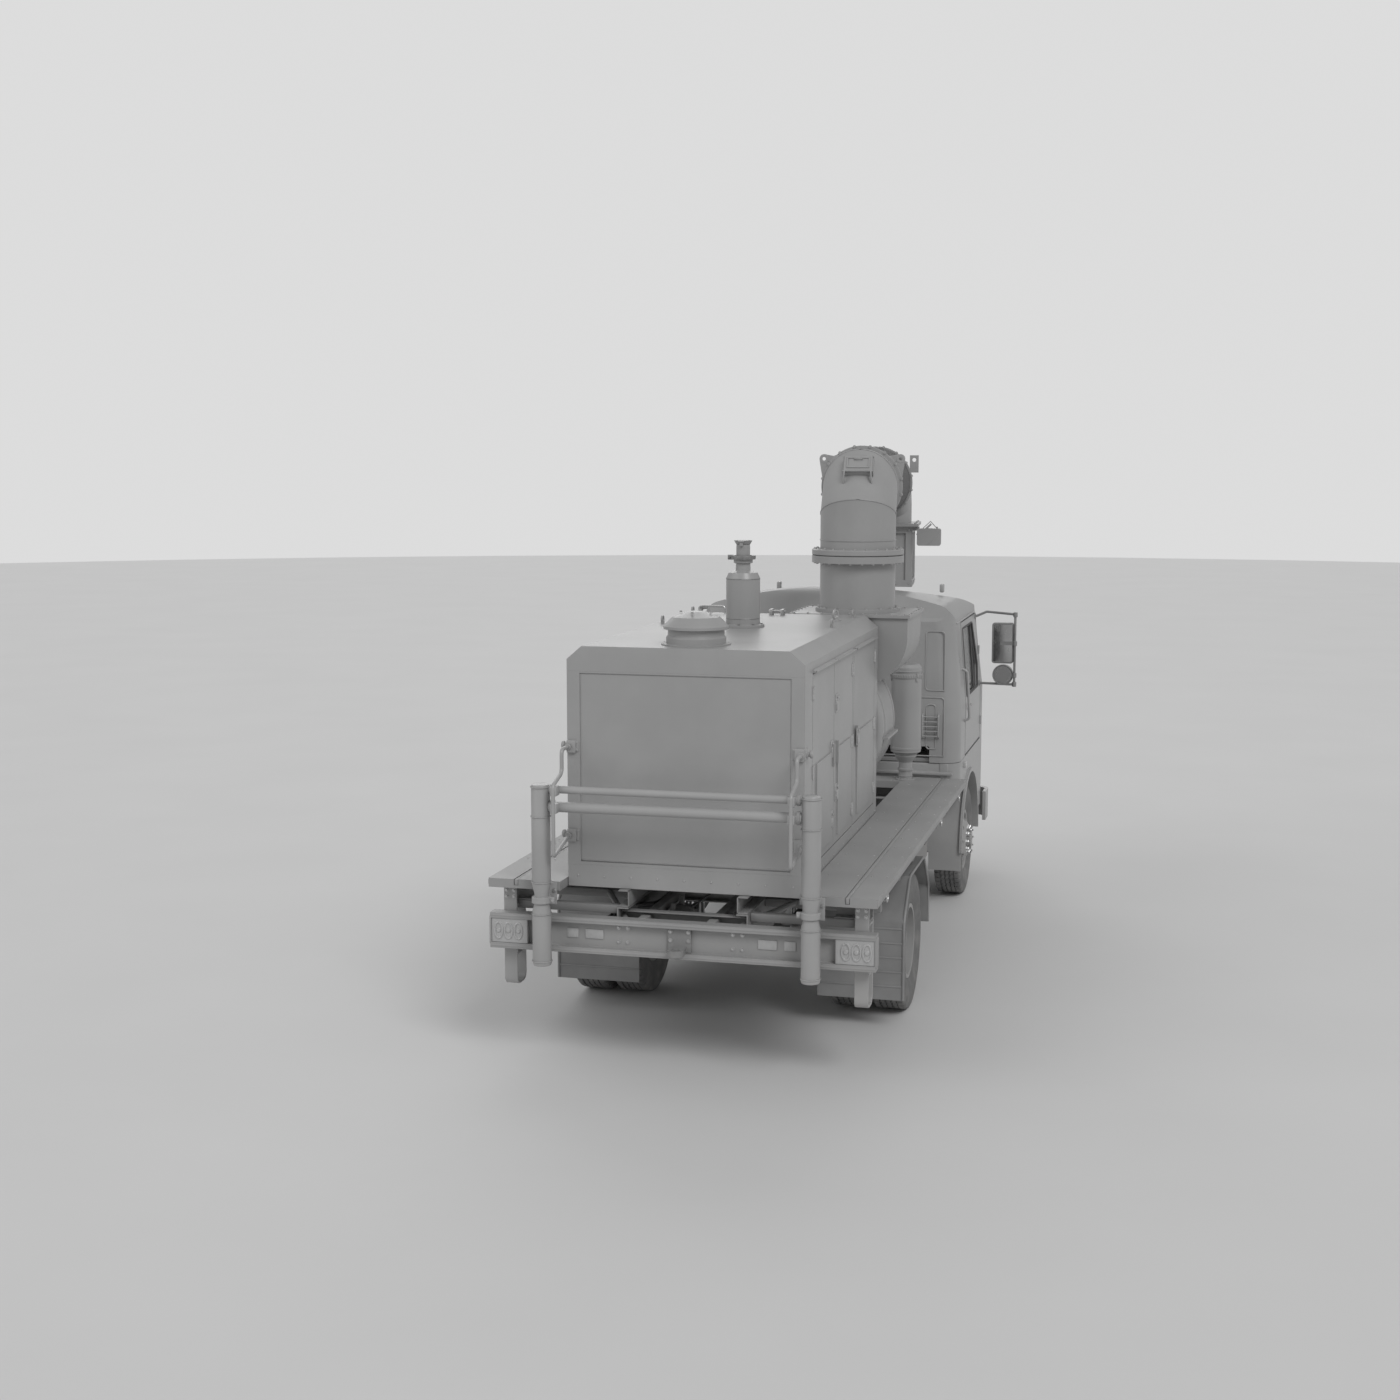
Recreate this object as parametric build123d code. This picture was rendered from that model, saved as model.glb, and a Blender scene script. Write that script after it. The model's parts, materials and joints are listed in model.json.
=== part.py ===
"""A small industrial vacuum truck: a cab-over lorry with a flat deck, a power unit under a
canopy, a fan with its outlet duct, and a slewing suction boom parked over the cab.

Millimetres. X runs across the truck with +X on its left side, Y runs along it with the
front toward -Y, and Z is up from the floor. The origin is on the floor under the middle
of the truck.
"""
import os
from math import atan2, cos, degrees, radians, sin, sqrt, tan

from build123d import *

# Lengths along the truck
DECK_LENGTH = 4535
CAB_GAP = 315
CAB_LENGTH = 1900
BUMPER_REACH = 200
GUARD_REACH = 200
REAR_OVERHANG = 1900
FRONT_AXLE_SETBACK = 800

# Deck and chassis
DECK_WIDTH = 2500
DECK_TOP = 1205
DECK_THICKNESS = 58
RAIL_HEIGHT = 240
RAIL_FLANGE = 75
RAIL_WALL = 9
FRAME_WIDTH = 850
BEARER_WALL = 7

# Wheels
TYRE_RADIUS = 480
TYRE_WIDTH = 245
BEAD_RADIUS = 250
RIM_WALL = 12
RIM_OFFSET = 147.5
FRONT_RIM_OFFSET = 127.5
REAR_TRACK_OUTER = 1200
FRONT_TRACK_OUTER = 1140
KINGPIN_X = 800
SPINDLE_RADIUS = 40
SPINDLE_CLEARANCE = 1
ARM_LENGTH = 180

# Canopy over the power unit
CANOPY_SETBACK = 150
CANOPY_LENGTH = 2745
CANOPY_WIDTH = 1530
CANOPY_BOTTOM = 1150
CANOPY_EAVE = 2603
CANOPY_TOP = 2687
CANOPY_ROOF_WIDTH = 1336
CANOPY_WALL = 40
SILL_TOP = 1290
DOOR_GAP = 8

# Cab
CAB_WIDTH = 2300
CAB_EAVE_INSET = 60
CAB_SILL = 1280
CAB_BACK_SILL = 1420
CAB_BELT = 1750
CAB_EAVE = 2480
CAB_CROWN = 2740
CAB_CORNER = 160
CAB_WALL = 45
WINDSCREEN_RAKE = 230
GLASS = 6

# Duct and boom
DUCT_X = -540
DUCT_SETBACK = 395
DUCT_RADIUS = 287
DUCT_WALL = 8
BOOM_HEIGHT = 3630
BOOM_BEND = 350
BOOM_REACH = 2725
BOOM_ANGLE = 6
HEAD_BOTTOM = 2712
HEAD_TOP = 3270
HEAD_WIDTH = 640

# Stations along the truck, worked out from the lengths above
LENGTH = GUARD_REACH + DECK_LENGTH + CAB_GAP + CAB_LENGTH + BUMPER_REACH
DECK_REAR = LENGTH / 2 - GUARD_REACH
DECK_FRONT = DECK_REAR - DECK_LENGTH
CAB_BACK = DECK_FRONT - CAB_GAP
CAB_FRONT = CAB_BACK - CAB_LENGTH
REAR_AXLE_Y = DECK_REAR - REAR_OVERHANG
FRONT_AXLE_Y = CAB_BACK - FRONT_AXLE_SETBACK
CANOPY_REAR = DECK_REAR - CANOPY_SETBACK
CANOPY_FRONT = CANOPY_REAR - CANOPY_LENGTH
DUCT_Y = CANOPY_FRONT - DUCT_SETBACK
DECK_BOTTOM = DECK_TOP - DECK_THICKNESS
RAIL_TOP = DECK_BOTTOM - 107
RAIL_BOTTOM = RAIL_TOP - RAIL_HEIGHT
RAIL_X = FRAME_WIDTH / 2
CANOPY_SIDE = CANOPY_WIDTH / 2
AXLE_Z = TYRE_RADIUS


def block(x, y, z):
    """A box from a (low, high) pair along each axis."""
    pairs = (x, y, z)
    middle = [(low + high) / 2 for low, high in pairs]
    return Pos(*middle) * Box(*[abs(high - low) for low, high in pairs])


def bar(axis, centre, radius, length):
    """A cylinder about one axis, centred on a point."""
    turn = {"x": Rot(0, 90, 0), "y": Rot(90, 0, 0), "z": Rot(0, 0, 0)}[axis]
    return Pos(*centre) * turn * Cylinder(radius, length)


def across(outline, x_low, x_high):
    """A side outline of (y, z) points, extruded across the truck."""
    face = Plane.YZ.offset(x_low) * make_face(Polyline(*outline, close=True))
    return extrude(face, x_high - x_low, dir=(1, 0, 0))


def along(outline, y_low, y_high):
    """A front outline of (x, z) points, extruded along the truck."""
    face = Plane.XZ.offset(-y_low) * make_face(Polyline(*outline, close=True))
    return extrude(face, y_high - y_low, dir=(0, 1, 0))


def rod(points, radius, bend):
    """A round bar bent along a path of straight runs and equal bends."""
    path = FilletPolyline(*points, radius=bend)
    section = Plane(origin=path @ 0, z_dir=path % 0) * Circle(radius)
    return sweep(section, path)


def other_side(shape):
    """The mirror image on the other side of the truck."""
    return mirror(shape, about=Plane.YZ)


def both_sides(shape):
    """The shape and its mirror image."""
    return [shape, other_side(shape)]


def save(name, *shapes):
    """Write the solids of one piece to its file."""
    solids = [solid for shape in shapes for solid in shape.solids()]
    export_step(solids[0] if len(solids) == 1 else Compound(children=solids), f"parts/{name}.step")


def build_chassis():
    """Two channel rails, the crossmembers between them and the bearers under the deck."""
    rail_front = CAB_FRONT + 120
    rail_rear = DECK_REAR - BUMPER_DEPTH
    inner = RAIL_X - RAIL_FLANGE
    channel = [(RAIL_X, RAIL_BOTTOM), (RAIL_X, RAIL_TOP), (inner, RAIL_TOP),
               (inner, RAIL_TOP - RAIL_WALL), (RAIL_X - RAIL_WALL, RAIL_TOP - RAIL_WALL),
               (RAIL_X - RAIL_WALL, RAIL_BOTTOM + RAIL_WALL), (inner, RAIL_BOTTOM + RAIL_WALL),
               (inner, RAIL_BOTTOM)]
    save("chassis_rails", *both_sides(along(channel, rail_front, rail_rear)))

    reach = RAIL_X - RAIL_WALL
    low, high = RAIL_BOTTOM + RAIL_WALL + 20, RAIL_TOP - RAIL_WALL - 20
    stations = [rail_rear - 60, REAR_AXLE_Y + 620, REAR_AXLE_Y - 620,
                (REAR_AXLE_Y + FRONT_AXLE_Y) / 2, FRONT_AXLE_Y + 1050]
    beams = []
    for y in stations:
        outline = [(y - 35, low), (y + 35, low), (y + 35, low + BEARER_WALL),
                   (y - 35 + BEARER_WALL, low + BEARER_WALL), (y - 35 + BEARER_WALL, high - BEARER_WALL),
                   (y + 35, high - BEARER_WALL), (y + 35, high), (y - 35, high)]
        beams.append(across(outline, -reach, reach))
    count = 8
    first, last = DECK_REAR - 60, DECK_FRONT + 60
    bearers = []
    for step in range(count):
        y = first + (last - first) * step / (count - 1)
        outline = [(y - 40, RAIL_TOP), (y + 40, RAIL_TOP), (y + 40, RAIL_TOP + BEARER_WALL),
                   (y - 40 + BEARER_WALL, RAIL_TOP + BEARER_WALL),
                   (y - 40 + BEARER_WALL, DECK_BOTTOM - BEARER_WALL),
                   (y + 40, DECK_BOTTOM - BEARER_WALL), (y + 40, DECK_BOTTOM), (y - 40, DECK_BOTTOM)]
        bearers.append(across(outline, -DECK_WIDTH / 2 + 60, DECK_WIDTH / 2 - 60))
    save("frame_crossmembers", *beams, *bearers)


def build_deck():
    """A planked walkway down each side and a crosspiece at the deck's front end."""
    edge = DECK_WIDTH / 2
    seam = (edge - 200, edge - 170)
    walk = block((CANOPY_SIDE + 5, edge), (DECK_FRONT, DECK_REAR), (DECK_BOTTOM, DECK_TOP))
    walk += block((CANOPY_SIDE - 30, CANOPY_SIDE + 5), (DECK_FRONT, CANOPY_FRONT - 10),
                  (DECK_BOTTOM, DECK_TOP))
    walk -= block(seam, (DECK_FRONT - 1, DECK_REAR + 1), (DECK_BOTTOM + 18, DECK_TOP + 1))
    crosspiece = block((-CANOPY_SIDE + 32, CANOPY_SIDE - 32), (DECK_FRONT, DECK_FRONT + 235),
                       (DECK_BOTTOM, DECK_TOP))
    save("deck_plates", *both_sides(walk), crosspiece)


BUMPER_DEPTH = 90
BUMPER_LOW = 752
BUMPER_HIGH = 981
BUMPER_SIDE = 1244
LAMP_INNER = 1000


def build_rear_end():
    """Rear bumper with a recessed web, towing hitch, stirrup steps and guard."""
    back, front = DECK_REAR, DECK_REAR - BUMPER_DEPTH
    flange = 36
    outline = [(back, BUMPER_LOW), (back, BUMPER_LOW + flange), (back - 48, BUMPER_LOW + flange),
               (back - 48, BUMPER_HIGH - flange), (back, BUMPER_HIGH - flange), (back, BUMPER_HIGH),
               (front, BUMPER_HIGH), (front, BUMPER_LOW)]
    bumper = across(outline, -BUMPER_SIDE, BUMPER_SIDE)
    bumper += block((-BUMPER_SIDE, -BUMPER_SIDE + 8), (front, back), (BUMPER_LOW, BUMPER_HIGH))
    bumper += block((BUMPER_SIDE - 8, BUMPER_SIDE), (front, back), (BUMPER_LOW, BUMPER_HIGH))
    save("rear_bumper", bumper)

    plate = block((-75, 75), (back - 48, back - 30), (BUMPER_LOW + flange + 2, BUMPER_HIGH - flange - 2))
    neck = block((-45, 45), (back - 30, back + 24), (BUMPER_LOW + flange + 2, BUMPER_LOW + flange + 40))
    ring = Pos(0, back + 62, BUMPER_LOW + flange + 21) * (Cylinder(52, 38) - Cylinder(28, 40))
    save("tow_hitch", plate + neck + ring)

    step_x = (1100, 1188)
    leg = 12
    low, rungs = 480, (690, 1002)
    reach = 270
    stirrup = block(step_x, (back + 2, back + 2 + leg), (low, DECK_BOTTOM))
    stirrup += block(step_x, (back - reach, back - reach + leg), (low, DECK_BOTTOM))
    stirrup += block(step_x, (back - reach, back + 2 + leg), (low, low + leg))
    for z in rungs:
        stirrup += block(step_x, (back - reach, back + 2 + leg), (z, z + leg))
    save("rear_steps", *both_sides(stirrup))


GUARD_X = 860
GUARD_OUT = 100
GUARD_TOP = 1830
GUARD_BAR_Z = (1690, 1797)
GUARD_BAR_RADIUS = 25
SLEEVE_RADIUS = 47
LOOP_RADIUS = 12.5


def build_guard():
    """Padded posts behind the deck, two crossbars and the rod loops that hold them."""
    y = DECK_REAR + GUARD_OUT
    sleeve = Polyline((0, 670), (38, 670), (SLEEVE_RADIUS, 700), (SLEEVE_RADIUS, 1065),
                      (36, 1090), (36, 1150), (SLEEVE_RADIUS, 1175), (SLEEVE_RADIUS, 1800),
                      (40, GUARD_TOP), (0, GUARD_TOP), close=True)
    post = Pos(GUARD_X, y, 0) * revolve(Plane.XZ * make_face(sleeve), Axis.Z)
    post += Pos(GUARD_X, y, 1120) * Cylinder(52, 40)
    post += block((GUARD_X - 70, GUARD_X + 70), (DECK_REAR, DECK_REAR + 14), (1060, DECK_TOP - 5))
    post += block((GUARD_X - 22, GUARD_X + 22), (DECK_REAR + 14, y), (1100, 1140))
    post += block((GUARD_X - 22, GUARD_X + 22), (DECK_REAR, y), (BUMPER_HIGH - 36, BUMPER_HIGH))
    reach = GUARD_X - SLEEVE_RADIUS - 1
    bars = [bar("x", (0, y, z), GUARD_BAR_RADIUS, 2 * reach) for z in GUARD_BAR_Z]
    face = CANOPY_REAR
    out = DECK_REAR + GUARD_REACH - LOOP_RADIUS
    path = [(720, face + 22, 2050), (720, face + 60, 2050), (720, face + 60, 1905), (720, out, 1850),
            (720, out, 1400), (720, face + 22, 1480)]
    loop = rod(path, LOOP_RADIUS, 28)
    for z in (2050, 1480):
        loop += block((690, 750), (face, face + 24), (z - 40, z + 40))
    save("rear_guard", *both_sides(post), *bars, *both_sides(loop))


def wheel_section(offset):
    """Section of one disc wheel as (axial, radial) points. The disc seats at axial zero."""
    half = 86
    seat = BEAD_RADIUS - 0.3
    lip = BEAD_RADIUS + 13
    inner = seat - RIM_WALL
    return [(0, 88), (0, 140), (22, 172), (offset - 62, inner - 14), (offset - half - 10, inner),
            (offset - half - 10, lip), (offset - half, lip), (offset - half, seat), (offset - 45, seat),
            (offset - 35, seat - 13), (offset + 25, seat - 13), (offset + 35, seat), (offset + half, seat),
            (offset + half, lip), (offset + half + 10, lip), (offset + half + 10, inner),
            (offset + 40, inner), (offset + 28, inner - 14), (offset - 40, inner - 14),
            (42, 165), (14, 132), (14, 88)]


def disc_wheel(seat_x, outward, offset):
    """A disc wheel whose seat is at seat_x and whose rim lies on the outward side (+1 or -1)."""
    points = [(seat_x + outward * axial, radial) for axial, radial in wheel_section(offset)]
    wheel = revolve(make_face(Polyline(*points, close=True)), Axis.X)
    holes = 8
    middle = seat_x + outward * 30
    for turn in range(holes):
        angle = radians(360 * turn / holes)
        wheel -= bar("x", (middle, 186 * cos(angle), 186 * sin(angle)), 24, 90)
    return wheel


def tyre(centre_x):
    """A tyre with bowed sidewalls and rounded shoulders, about the X axis."""
    half = TYRE_WIDTH / 2
    bead, bead_top, shoulder = 84, BEAD_RADIUS + 16, TYRE_RADIUS - 26
    edge = half - 30
    right = ThreePointArc((bead, bead_top), (half, BEAD_RADIUS + 105), (half - 10, shoulder))
    right_round = ThreePointArc((half - 10, shoulder), (half - 16, TYRE_RADIUS - 8), (edge, TYRE_RADIUS))
    tread = Line((edge, TYRE_RADIUS), (-edge, TYRE_RADIUS))
    left_round = ThreePointArc((-edge, TYRE_RADIUS), (16 - half, TYRE_RADIUS - 8), (10 - half, shoulder))
    left = ThreePointArc((10 - half, shoulder), (-half, BEAD_RADIUS + 105), (-bead, bead_top))
    foot = Polyline((-bead, bead_top), (-bead, BEAD_RADIUS), (bead, BEAD_RADIUS), (bead, bead_top))
    section = make_face(right + right_round + tread + left_round + left + foot)
    return Pos(centre_x, 0, 0) * revolve(section, Axis.X)


def at_axle(shape, y):
    """Move a wheel built about the X axis to its axle."""
    return Pos(0, y, AXLE_Z) * shape


def build_wheels():
    """Single front wheels and twin rear wheels, each with its hub and drum."""
    front_centre = FRONT_TRACK_OUTER - TYRE_WIDTH / 2
    seat = front_centre + FRONT_RIM_OFFSET
    rim = disc_wheel(seat, -1, FRONT_RIM_OFFSET)
    hub = bar("x", (seat - 112, 0, 0), 92, 240) + bar("x", (seat + 18, 0, 0), 70, 36)
    hub += bar("x", (seat - 200, 0, 0), 190, 120)
    hub -= bar("x", (KINGPIN_X + 120, 0, 0), SPINDLE_RADIUS + SPINDLE_CLEARANCE, 320)
    front_rim = at_axle(rim + hub, FRONT_AXLE_Y)
    front_tyre = at_axle(tyre(front_centre), FRONT_AXLE_Y)

    outer_centre = REAR_TRACK_OUTER - TYRE_WIDTH / 2
    middle = outer_centre - RIM_OFFSET
    twin = disc_wheel(middle, 1, RIM_OFFSET) + disc_wheel(middle, -1, RIM_OFFSET)
    twin += bar("x", (middle - 10, 0, 0), 92, 250) + bar("x", (middle + 130, 0, 0), 70, 50)
    twin += bar("x", (middle - 150, 0, 0), 190, 160)
    twin -= bar("x", (middle - 130, 0, 0), SPINDLE_RADIUS + SPINDLE_CLEARANCE, 400)
    rear_rims = at_axle(twin, REAR_AXLE_Y)
    rear_tyres = [at_axle(tyre(middle + sign * RIM_OFFSET), REAR_AXLE_Y) for sign in (1, -1)]

    for side, turn in (("left", lambda shape: shape), ("right", other_side)):
        save(f"front_rim_{side}", turn(front_rim))
        save(f"front_tyre_{side}", turn(front_tyre))
        save(f"rear_rims_{side}", turn(rear_rims))
        save(f"rear_tyres_{side}", *[turn(shape) for shape in rear_tyres])


def build_axles():
    """Front beam with steering knuckles and tie rod, rear axle, and four leaf springs."""
    y, z = FRONT_AXLE_Y, AXLE_Z
    eye = 46
    outline = [(y - 45, z - 40), (y + 45, z - 40), (y + 45, z - 26), (y + 9, z - 20), (y + 9, z + 20),
               (y + 45, z + 26), (y + 45, z + 40), (y - 45, z + 40), (y - 45, z + 26), (y - 9, z + 20),
               (y - 9, z - 20), (y - 45, z - 26)]
    beam = across(outline, -KINGPIN_X, KINGPIN_X)
    for x in (-KINGPIN_X, KINGPIN_X):
        beam += bar("z", (x, y, z), eye, 120)
        beam -= bar("z", (x, y, z), 20.4, 130)
        beam -= block((x - 60, x + 60), (y - 60, y + 60), (z + 60, z + 90))
    for x in (-SPRING_X, SPRING_X):
        beam += block((x - 45, x + 45), (y - 70, y + 70), (z + 30, z + 60))
    save("front_axle", beam)

    plate_x = KINGPIN_X + eye + 8
    knuckle = block((plate_x, plate_x + 18), (y - 60, y + 60), (z - 95, z + 95))
    for side in (-1, 1):
        lug_z = z + side * 80
        knuckle += block((KINGPIN_X, plate_x + 18), (y - 42, y + 42), (lug_z - 15, lug_z + 15))
        knuckle += bar("z", (KINGPIN_X, y, lug_z), 42, 30)
    knuckle += bar("z", (KINGPIN_X, y, z), 20, 190)
    knuckle += bar("x", (plate_x + 100, y, z), SPINDLE_RADIUS, 200)
    knuckle += block((KINGPIN_X - 20, KINGPIN_X + 20), (y, y + ARM_LENGTH), (z - 95, z - 65))
    knuckle += bar("z", (KINGPIN_X, y + ARM_LENGTH, z - 80), 26, 30)
    knuckle -= bar("z", (KINGPIN_X, y + ARM_LENGTH, z - 80), 12.4, 60)
    save("steering_knuckle_left", knuckle)
    save("steering_knuckle_right", other_side(knuckle))

    rod_z = z - 46
    tie_rod = bar("x", (0, y + ARM_LENGTH, rod_z), 16, 2 * KINGPIN_X)
    for x in (-KINGPIN_X, KINGPIN_X):
        tie_rod += bar("z", (x, y + ARM_LENGTH, rod_z), 24, 34)
        tie_rod += bar("z", (x, y + ARM_LENGTH, rod_z - 28), 12, 54)
    save("tie_rod", tie_rod)

    y = REAR_AXLE_Y
    casing = Polyline((0, 0), (0, 150), (70, 175), (150, 130), (260, 75), (600, 70), (640, SPINDLE_RADIUS),
                      (960, SPINDLE_RADIUS), (960, 0), close=True)
    half = revolve(make_face(casing), Axis.X)
    axle = at_axle(half + other_side(half), y)
    axle += bar("y", (0, y - 190, z), 60, 80)
    for x in (-SPRING_X, SPRING_X):
        axle += block((x - 45, x + 45), (y - 70, y + 70), (z + 20, z + 95))
    save("rear_axle", axle)

    springs = []
    for y, seat in ((FRONT_AXLE_Y, z + 60), (REAR_AXLE_Y, z + 95)):
        ends = 620
        eye_z = RAIL_BOTTOM - 55
        upper = ThreePointArc((y - ends, eye_z + 12), (y, seat + 62), (y + ends, eye_z + 12))
        lower = ThreePointArc((y + ends, eye_z - 12), (y, seat), (y - ends, eye_z - 12))
        face = make_face(upper + Line(upper @ 1, lower @ 0) + lower + Line(lower @ 1, upper @ 0))
        spring = extrude(Plane.YZ.offset(SPRING_X - 35) * face, 70, dir=(1, 0, 0))
        for end in (y - ends, y + ends):
            spring += bar("x", (SPRING_X, end, eye_z), 28, 70)
            spring += block((SPRING_X - 12, SPRING_X + 12), (end - 25, end + 25), (eye_z, RAIL_BOTTOM))
        springs += both_sides(spring)
    save("leaf_springs", *springs)


SPRING_X = 385


def build_driveline():
    """Engine block with gearbox and propeller shaft, fuel tank and battery box."""
    z = 700
    engine = block((-290, 290), (FRONT_AXLE_Y - 520, FRONT_AXLE_Y + 430), (z - 40, CAB_SILL + 90))
    engine = chamfer(engine.edges().filter_by(Axis.Y), 60)
    gearbox_end = FRONT_AXLE_Y + 980
    gearbox = loft([Plane.XZ.offset(-(FRONT_AXLE_Y + 430)) * Pos(0, 880) * Rectangle(420, 380),
                    Plane.XZ.offset(-gearbox_end) * Pos(0, 740) * Rectangle(240, 240)])
    shaft_start = Vector(0, gearbox_end, 740)
    shaft_end = Vector(0, REAR_AXLE_Y - 260, AXLE_Z)
    run = shaft_end - shaft_start
    shaft = Plane(origin=shaft_start, z_dir=run) * Pos(0, 0, run.length / 2) * Cylinder(45, run.length + 20)
    coupling = bar("y", (0, REAR_AXLE_Y - 245, AXLE_Z), 60, 30)
    save("engine_and_gearbox", engine + gearbox + shaft + coupling)

    tank_y = (FRONT_AXLE_Y + 1150, REAR_AXLE_Y - 800)
    tank = block((RAIL_X + 40, RAIL_X + 590), tank_y, (500, 980))
    tank = fillet(tank.edges().filter_by(Axis.Y), 70)
    for y in (tank_y[0] + 200, tank_y[1] - 200):
        tank += block((RAIL_X, RAIL_X + 60), (y - 30, y + 30), (840, 960))
    box = block((-RAIL_X - 520, -RAIL_X - 40), (tank_y[0], tank_y[0] + 700), (560, 960))
    box = fillet(box.edges().filter_by(Axis.Z), 30)
    box += block((-RAIL_X - 60, -RAIL_X), (tank_y[0] + 100, tank_y[0] + 600), (840, 940))
    save("fuel_tank_and_battery_box", tank, box)


def build_mudguards():
    """Folded guards over the twin rear wheels."""
    inner_x, outer_x, wall = 634, 1222, 8
    y, top = REAR_AXLE_Y, RAIL_TOP - 22
    outline = [(600, 212), (600, 760), (340, top), (-340, top), (-600, 760), (-600, 480)]
    outer = [(y + a, b) for a, b in outline]
    shrink = [(600 - wall, 212), (600 - wall, 757), (337, top - wall), (-337, top - wall),
              (wall - 600, 757), (wall - 600, 480)]
    inner = [(y + a, b) for a, b in reversed(shrink)]
    guard = across(outer + inner, inner_x, outer_x)
    save("rear_mudguards", *both_sides(guard))


def plan_section(z, side, back, front, corner):
    """A rounded rectangle across the cab at one height."""
    return Pos(0, (back + front) / 2, z) * RectangleRounded(2 * side, back - front, corner)


def cab_body(inset):
    """The cab's outer form, drawn in by an inset: sides, sloped windscreen and domed roof."""
    side = CAB_WIDTH / 2 - inset
    eave_side = side - CAB_EAVE_INSET
    back, front = CAB_BACK - inset, CAB_FRONT + inset
    eave_front = CAB_FRONT + WINDSCREEN_RAKE + inset
    corner = CAB_CORNER - inset
    lower = loft([plan_section(620, side, back, front, corner),
                  plan_section(CAB_BELT, side, back, front, corner)])
    upper = loft([plan_section(CAB_BELT, side, back, front, corner),
                  plan_section(CAB_EAVE, eave_side, back, eave_front, corner)])
    crown, eave = CAB_CROWN - inset, CAB_EAVE
    ridge = CAB_BACK - 360
    side_view = make_face(Line((back, eave), (back - 20, eave + 30))
                          + ThreePointArc((back - 20, eave + 30), (back - 130, crown - 70), (ridge, crown))
                          + Line((ridge, crown), (eave_front + 30, eave + 20 - inset))
                          + Line((eave_front + 30, eave + 20 - inset), (eave_front, eave))
                          + Line((eave_front, eave), (back, eave)))
    roof = extrude(Plane.YZ.offset(-side) * side_view, 2 * side, dir=(1, 0, 0))
    shoulder = eave_side - 130
    front_view = make_face(Line((-eave_side, eave), (eave_side, eave))
                           + ThreePointArc((eave_side, eave), (eave_side - 35, eave + 75 - inset / 3),
                                           (shoulder, eave + 135 - inset))
                           + ThreePointArc((shoulder, eave + 135 - inset), (0, crown),
                                           (-shoulder, eave + 135 - inset))
                           + ThreePointArc((-shoulder, eave + 135 - inset),
                                           (35 - eave_side, eave + 75 - inset / 3), (-eave_side, eave)))
    roof &= extrude(Plane.XZ.offset(-front) * front_view, back - front, dir=(0, 1, 0))
    roof &= extrude(plan_section(CAB_EAVE, eave_side, back, eave_front, corner), 400, dir=(0, 0, 1))
    return lower + upper + roof


DOOR_FRONT_SETBACK = 330
DOOR_REAR_SETBACK = 450
DOOR_LOW = 1292
DOOR_HIGH = 2440
WINDOW_LOW = 1790
WINDOW_HIGH = 2380


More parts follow.
